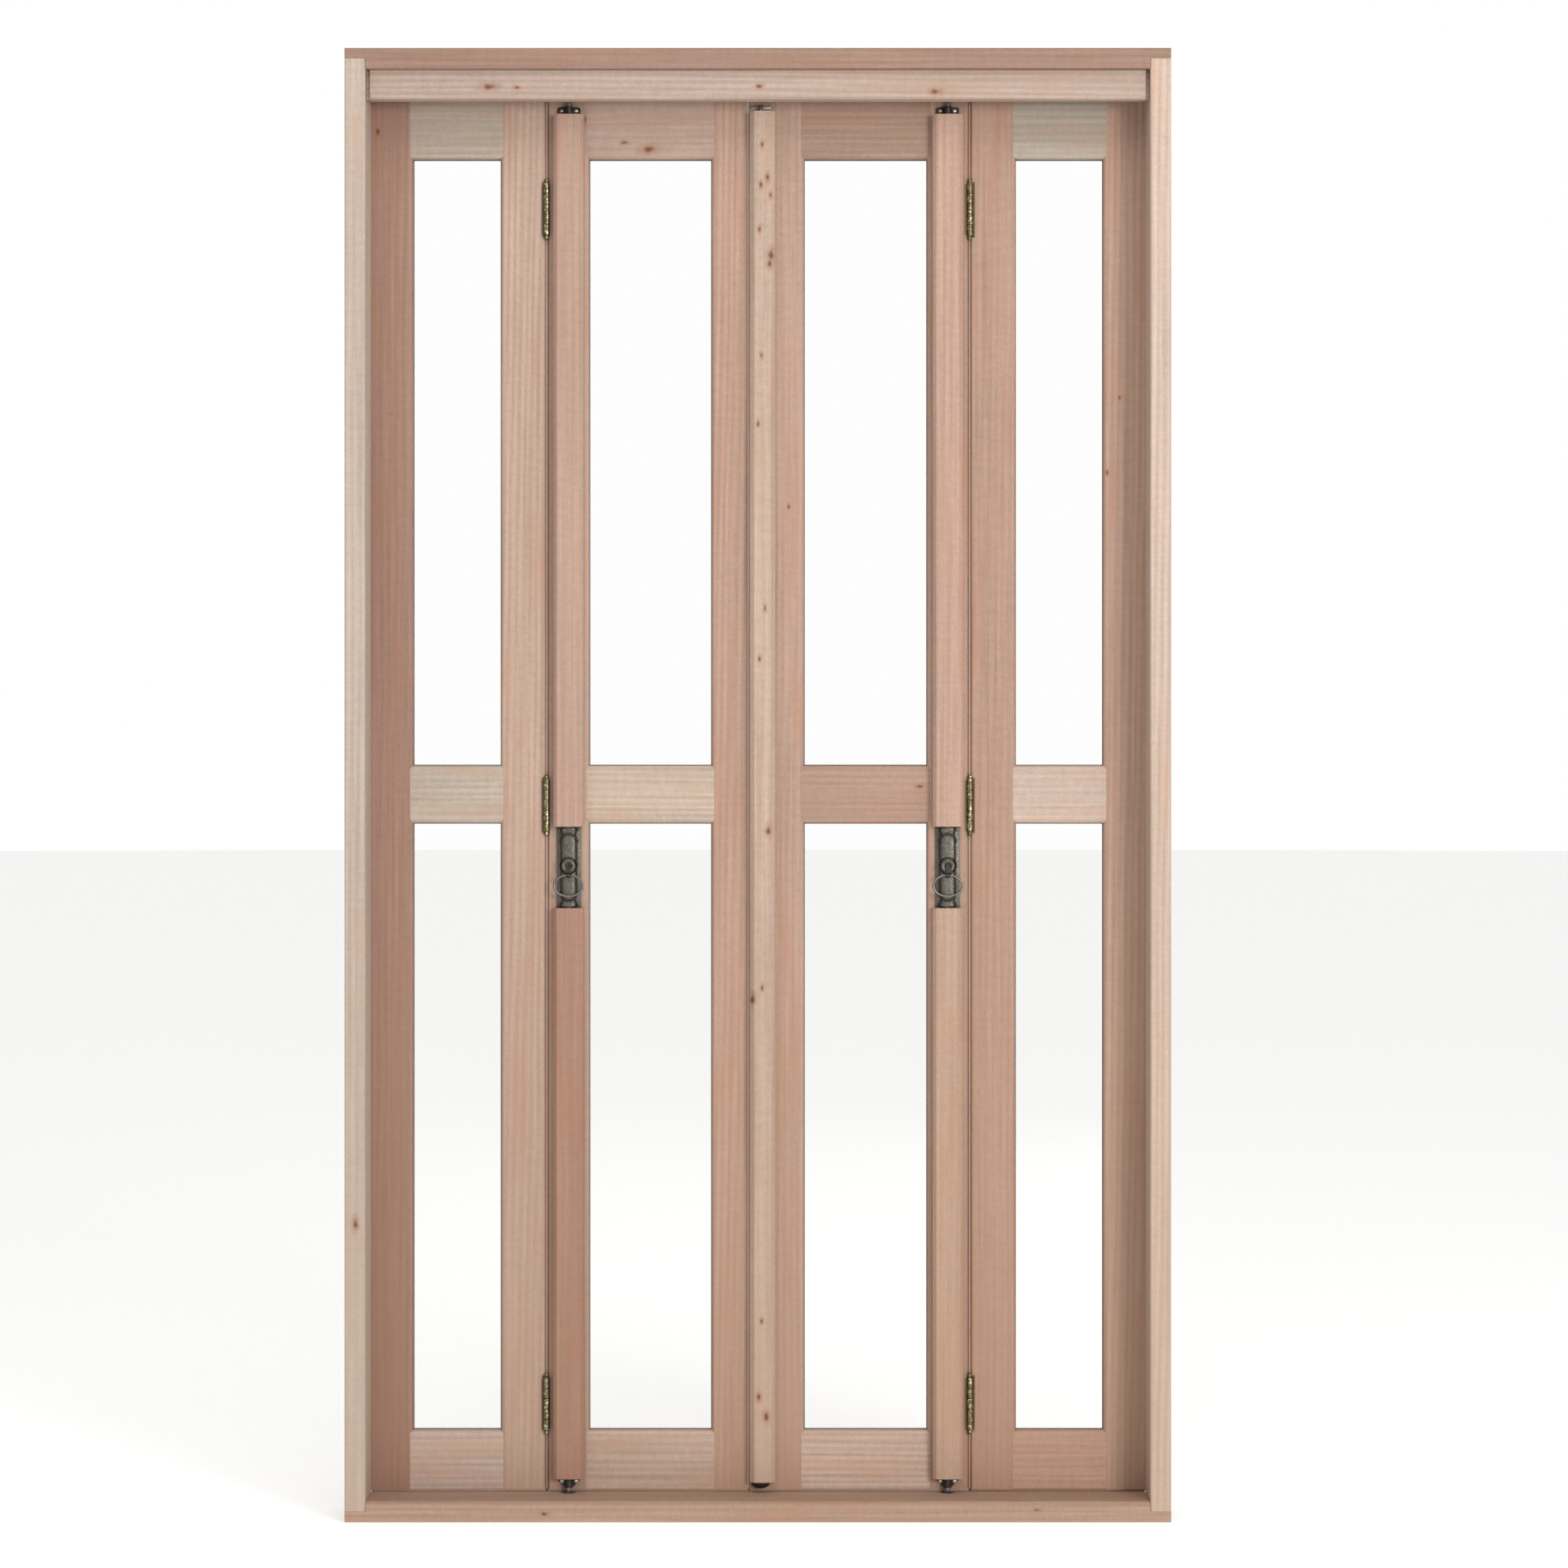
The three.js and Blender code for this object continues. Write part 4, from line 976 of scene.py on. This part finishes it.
def make_knob(hand):
    """The round knob: a bright rim round a dark hollow, a lug that holds the ring, and a pinion."""
    node = f"{hand}_latch_knob"
    pivot = PIVOTS[f"{hand}_knob_turn"]
    eye = PIVOTS[f"{hand}_ring_swing"]
    centre = Vector((pivot.x, 0, pivot.z))
    shape = merged_copy(node)
    # The plain front is cut away and a shaped one stands in its place.
    keep_from = Vector((pivot.x, 9.5 * MM, pivot.z))
    slice_off(shape, list(shape.verts), keep_from, (0, -1, 0))
    rim = [
        (0, 9.8), (3.9, 9.8), (3.9, 9.2), (10.6, 9.2), (11.0, 8.4), (11.0, 6.2),
        (10.4, 4.4), (9.3, 3.2), (7.6, 2.7), (5.6, 3.1), (4.4, 4.6), (0, 4.6),
    ]
    turned(shape, rim, centre, "Y")
    made_piece(f"{node}_cast", shape, finish(antique_iron), node, replaces=(node,))

    dark = bmesh.new()
    # The lug widens down to the eye, which is a tube round the ring's bar.
    edges = None
    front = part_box(node)[0].y / MM
    levels = ((2.4, front + 0.9, 2.5), (3.6, front, -5.5), (4.6, front + 0.6, -10.6))
    for half_wide, face, drop in levels:
        level = [
            dark.verts.new((pivot.x + x * MM, y * MM, pivot.z + drop * MM))
            for x, y in ((-half_wide, face), (half_wide, face), (half_wide, 8.8), (-half_wide, 8.8))
        ]
        last = [dark.edges.new((level[i], level[(i + 1) % 4])) for i in range(4)]
        if edges:
            bmesh.ops.bridge_loops(dark, edges=edges + last)
        else:
            dark.faces.new(level)
        edges = last
    dark.faces.new(level)
    tube = [(2.3, -3.4), (3.4, -3.4), (3.9, -2.9), (3.9, 2.9), (3.4, 3.4), (2.3, 3.4)]
    turned(dark, tube, eye, "X")
    made_piece(f"{node}_lug", dark, finish(dark_iron_and_painted_shadow), node)


def make_ring(hand):
    """The drop ring, an oval of round bar."""
    node = f"{hand}_latch_ring"
    low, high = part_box(node)
    bar = (high.y - low.y) / 2
    tall, wide = (high.z - low.z) / 2 - bar, (high.x - low.x) / 2 - bar
    shape = bmesh.new()
    made = bmesh.ops.create_circle(shape, segments=16, radius=bar)
    bmesh.ops.translate(shape, vec=(tall, 0, 0), verts=made["verts"])
    bmesh.ops.spin(
        shape,
        geom=[*made["verts"], *shape.edges],
        axis=(0, 1, 0),
        angle=2 * math.pi,
        steps=64,
        use_merge=True,
    )
    for vert in shape.verts:
        vert.co.x += (wide - tall) * math.cos(math.atan2(vert.co.z, vert.co.x))
    bmesh.ops.translate(shape, vec=(low + high) / 2, verts=list(shape.verts))
    made_piece(f"{node}_forged", shape, finish(ring_iron), node, 80, (node,))


def make_rods(hand):
    for place in ("upper", "lower"):
        finish_node(f"{hand}_{place}_rod", finish(drawn_steel))
    finish_node(f"{hand}_guide_pin", finish(drawn_steel))


def make_latches():
    for hand in HANDS:
        make_latch_housing(hand)
        make_knob(hand)
        make_ring(hand)
        make_rods(hand)


GUIDE_HALF_WIDTH, GUIDE_THICK = 17 * MM, 1.6 * MM
STAPLE_BORE, STAPLE_RADIUS = 4.4 * MM, 6.0 * MM
GUIDE_SCREW, GUIDE_SCREW_OUT = 2.8 * MM, 10 * MM


def rod_guide(name, hand, z0, z1, pointed):
    """A small plate that holds a rod to the leaf, with a staple over it and two bright screws.
    A pointed one narrows downwards."""
    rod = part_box(f"{hand}_upper_rod")
    leaf_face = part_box(f"{hand}_inner_fold_stile")[0].y
    x = PIVOTS[f"{hand}_knob_turn"].x
    back = leaf_face - sizes().fit
    shape = bmesh.new()
    front = back - GUIDE_THICK
    block(shape, (x - GUIDE_HALF_WIDTH, front, z0), (x + GUIDE_HALF_WIDTH, back, z1))
    edge_z = z0 if pointed else z1
    corners = [
        edge
        for edge in shape.edges
        if all(abs(v.co.z - edge_z) < 1e-6 for v in edge.verts)
        and abs(edge.verts[0].co.x - edge.verts[1].co.x) < 1e-6
    ]
    bevel(shape, corners, (z1 - z0) * (0.8 if pointed else 0.3), 1 if pointed else 5)
    # The staple is a tube round the rod.
    centre = Vector((x, rod[0].y + ROD_RADIUS, 0))
    staple = [(STAPLE_BORE, z0), (STAPLE_RADIUS, z0), (STAPLE_RADIUS, z1), (STAPLE_BORE, z1)]
    turn(shape, staple, centre)
    made_piece(name, shape, finish(dark_iron_and_painted_shadow), f"{hand}_inner")
    heads = bmesh.new()
    for side in (-1, 1):
        place = Vector((x + side * GUIDE_SCREW_OUT, front, z0 * 0.4 + z1 * 0.6))
        screw(heads, place, Vector((0, -1, 0)), GUIDE_SCREW)
    made_piece(f"{name}_screws", heads, finish(bright_steel), f"{hand}_inner")


def make_rod_fittings():
    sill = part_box("sill")
    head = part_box("head")
    for hand in HANDS:
        upper_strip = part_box(f"{hand}_upper_cover_strip")
        lower_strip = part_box(f"{hand}_lower_cover_strip")
        z = upper_strip[1].z
        rod_guide(f"{hand}_upper_rod_guide", hand, z + 0.5 * MM, z + 12.5 * MM, False)
        z = lower_strip[0].z
        rod_guide(f"{hand}_lower_rod_guide", hand, z - 13.5 * MM, z - 0.5 * MM, True)
        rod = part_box(f"{hand}_upper_rod")
        x = PIVOTS[f"{hand}_knob_turn"].x
        y = rod[0].y + ROD_RADIUS
        for name, level, out in (("sill", sill[1].z, 1), ("head", head[0].z, -1)):
            shape = bmesh.new()
            # A tube in the rod's hole with a thin flange on the board.
            profile = [(5.6, -3), (5.9, -3), (5.9, 0.1), (11, 0.1), (10.6, 0.4), (5.6, 0.4)]
            profile = [(radius, far * out) for radius, far in profile]
            turned(shape, profile, Vector((x, y, level)))
            made_piece(f"{hand}_{name}_rod_socket", shape, finish(drawn_steel), "frame")


def make_centre_fittings():
    """A pin plate above the centre strip and a dark plug below it."""
    strip_low, strip_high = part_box("centre_cover_strip")
    face, top = strip_high.y, strip_high.z
    x = (strip_low.x + strip_high.x) / 2 - 3 * MM
    shape = bmesh.new()
    low = (x - 15 * MM, face - 2.4 * MM, top + 5 * MM)
    high = (x + 15 * MM, face - 0.1 * MM, top + 10 * MM)
    block(shape, low, high, 0.5 * MM)
    made_piece("centre_pin_plate", shape, finish(zinc_plate), "right_inner")
    pin = bmesh.new()
    profile = [(0, 0.3), (2.6, 0.3), (3.0, 0.8), (3.0, 9), (2.4, 10.4), (0, 10.8)]
    turned(pin, profile, Vector((x, face - 6.2 * MM, top)))
    made_piece("centre_pin", pin, finish(drawn_steel), "right_inner")
    plug = bmesh.new()
    bowl = [
        (0, -0.3), (14.5, -0.3), (14.5, -2.5), (12.5, -6.2), (8.5, -9.0), (3.2, -10.2),
        (0, -10.2),
    ]
    verts = turned(plug, bowl, Vector((x, face - 4 * MM, strip_low.z)))
    slice_off(plug, verts, Vector((x, face - 0.4 * MM, 0)), (0, 1, 0))
    made_piece("centre_foot_plug", plug, finish(dark_iron_and_painted_shadow), "right_inner")


# Stage


# Each light's name, place, aim, width and power in watts.
LIGHTS = (
    ("key", (3.2, -5.6, 1.9), (0, 0, 1.0), 1.6, 188),
    ("ceiling", (0, -3.0, 5.0), (0, 0, 0.6), 3.0, 60),
)
LIGHT_TINT = "#fffefc"
EYE_HEIGHT = 1.0715
CAMERA_DISTANCE = 5.86
CAMERA_RIGHT = 0.038
LENS = 92.7
FLOOR_RADIUS = 60


def area_light(name, place, aim, size, power):
    data = bpy.data.lights.new(name, "AREA")
    data.shape = "SQUARE"
    data.size = size
    data.energy = power
    data.color = linear(LIGHT_TINT)
    lamp = new_object(name, data)
    lamp.location = place
    lamp.rotation_euler = (Vector(aim) - Vector(place)).to_track_quat("-Z", "Y").to_euler()


def make_stage():
    """Camera square to the window, a pale floor and soft light from the front and above."""
    low = CAD_BOX[0]
    camera_data = bpy.data.cameras.new("camera")
    camera_data.sensor_width = 36
    camera_data.lens = LENS
    camera = new_object("camera", camera_data)
    camera.location = (CAMERA_RIGHT, low[1] - CAMERA_DISTANCE, EYE_HEIGHT)
    camera.rotation_euler = (math.radians(90), 0, 0)
    bpy.context.scene.camera = camera

    shape = bmesh.new()
    bmesh.ops.create_circle(shape, cap_ends=True, segments=96, radius=FLOOR_RADIUS)
    bmesh.ops.translate(shape, vec=(0, 0, low[2] - 0.5 * MM), verts=list(shape.verts))
    floor = mesh_object("floor", shape, finish(pale_floor))

    world = bpy.data.worlds.new("studio")
    world.use_nodes = True
    background = world.node_tree.nodes["Background"]
    background.inputs["Color"].default_value = (1, 1, 1, 1)
    # The studio looks white, and its walls give about half of the light.
    rays = add(world.node_tree, "ShaderNodeLightPath")
    seen = {0: rays.outputs["Is Camera Ray"], 1: rays.outputs["Is Transmission Ray"]}
    seen = add(world.node_tree, "ShaderNodeMath", seen, operation="MAXIMUM").outputs[0]
    glow = {"Value": seen, "To Min": 0.6, "To Max": 1.0}
    glow = add(world.node_tree, "ShaderNodeMapRange", glow).outputs[0]
    world.node_tree.links.new(glow, background.inputs["Strength"])
    bpy.context.scene.world = world
    bpy.context.scene.view_settings.view_transform = "Standard"
    for name, place, aim, size, power in LIGHTS:
        area_light(name, place, aim, size, power)


# Operators and panel


class Undoable:
    """What the operators share"""

    bl_options = {"REGISTER", "UNDO"}


class FOLDING_WINDOW_OT_stage(Undoable, bpy.types.Operator):
    """Set the camera, the floor and the lights"""

    bl_idname = "folding_window.stage"
    bl_label = "Stage"

    def execute(self, context):
        make_stage()
        return {"FINISHED"}


class FOLDING_WINDOW_OT_boards(Undoable, bpy.types.Operator):
    """Finish the boards of the frame and the leaves"""

    bl_idname = "folding_window.boards"
    bl_label = "Boards"

    def execute(self, context):
        make_boards()
        return {"FINISHED"}


class FOLDING_WINDOW_OT_glass(Undoable, bpy.types.Operator):
    """Glaze the leaves"""

    bl_idname = "folding_window.glass"
    bl_label = "Glass"

    def execute(self, context):
        make_glass()
        return {"FINISHED"}


class FOLDING_WINDOW_OT_beads(Undoable, bpy.types.Operator):
    """Fix the glazing beads behind the panes"""

    bl_idname = "folding_window.beads"
    bl_label = "Beads"

    def execute(self, context):
        make_beads()
        return {"FINISHED"}


class FOLDING_WINDOW_OT_edge_shadow_strips(Undoable, bpy.types.Operator):
    """Add the dark strips of painted shadow round the openings"""

    bl_idname = "folding_window.glazing_tape"
    bl_label = "Painted Edge Shadow"

    def execute(self, context):
        make_edge_shadow_strips()
        return {"FINISHED"}


class FOLDING_WINDOW_OT_tongues(Undoable, bpy.types.Operator):
    """Close the gaps between the leaves"""

    bl_idname = "folding_window.tongues"
    bl_label = "Tongues"

    def execute(self, context):
        make_tongues()
        return {"FINISHED"}


class FOLDING_WINDOW_OT_hinges(Undoable, bpy.types.Operator):
    """Fit both halves of every hinge"""

    bl_idname = "folding_window.hinges"
    bl_label = "Hinges"

    def execute(self, context):
        make_hinges()
        return {"FINISHED"}


class FOLDING_WINDOW_OT_latches(Undoable, bpy.types.Operator):
    """Cast the bolts, knobs, rings and rods"""

    bl_idname = "folding_window.latches"
    bl_label = "Latches"

    def execute(self, context):
        make_latches()
        return {"FINISHED"}


class FOLDING_WINDOW_OT_rod_fittings(Undoable, bpy.types.Operator):
    """Fit the rods' guides and sockets"""

    bl_idname = "folding_window.rod_fittings"
    bl_label = "Rod Fittings"

    def execute(self, context):
        make_rod_fittings()
        return {"FINISHED"}


class FOLDING_WINDOW_OT_centre_fittings(Undoable, bpy.types.Operator):
    """Fit the ends of the centre strip"""

    bl_idname = "folding_window.centre_fittings"
    bl_label = "Centre Fittings"

    def execute(self, context):
        make_centre_fittings()
        return {"FINISHED"}


# In the order in which they run: the tongues and beads use the boards' own wood.
OPERATORS = (
    FOLDING_WINDOW_OT_stage,
    FOLDING_WINDOW_OT_boards,
    FOLDING_WINDOW_OT_glass,
    FOLDING_WINDOW_OT_beads,
    FOLDING_WINDOW_OT_edge_shadow_strips,
    FOLDING_WINDOW_OT_tongues,
    FOLDING_WINDOW_OT_hinges,
    FOLDING_WINDOW_OT_latches,
    FOLDING_WINDOW_OT_rod_fittings,
    FOLDING_WINDOW_OT_centre_fittings,
)


class FOLDING_WINDOW_PT_panel(bpy.types.Panel):
    """Panel that lists the window's pieces"""

    bl_label = "Folding Window"
    bl_space_type = "VIEW_3D"
    bl_region_type = "UI"
    bl_category = "Folding Window"

    def draw(self, context):
        column = self.layout.column()
        for group in (sizes(), colours()):
            for name in group.__annotations__:
                column.prop(group, name)
        for piece in OPERATORS:
            column.operator(piece.bl_idname)


CLASSES = (FoldingWindowSizes, FoldingWindowColours, *OPERATORS, FOLDING_WINDOW_PT_panel)


def register():
    for item in CLASSES:
        bpy.utils.register_class(item)
    bpy.types.Scene.folding_window_sizes = PointerProperty(type=FoldingWindowSizes)
    bpy.types.Scene.folding_window_colours = PointerProperty(type=FoldingWindowColours)


def unregister():
    del bpy.types.Scene.folding_window_sizes
    del bpy.types.Scene.folding_window_colours
    for item in reversed(CLASSES):
        bpy.utils.unregister_class(item)


def main():
    register()
    for piece in OPERATORS:
        getattr(bpy.ops.folding_window, piece.bl_idname.partition(".")[2])()
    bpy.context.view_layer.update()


if __name__ == "__main__":
    main()
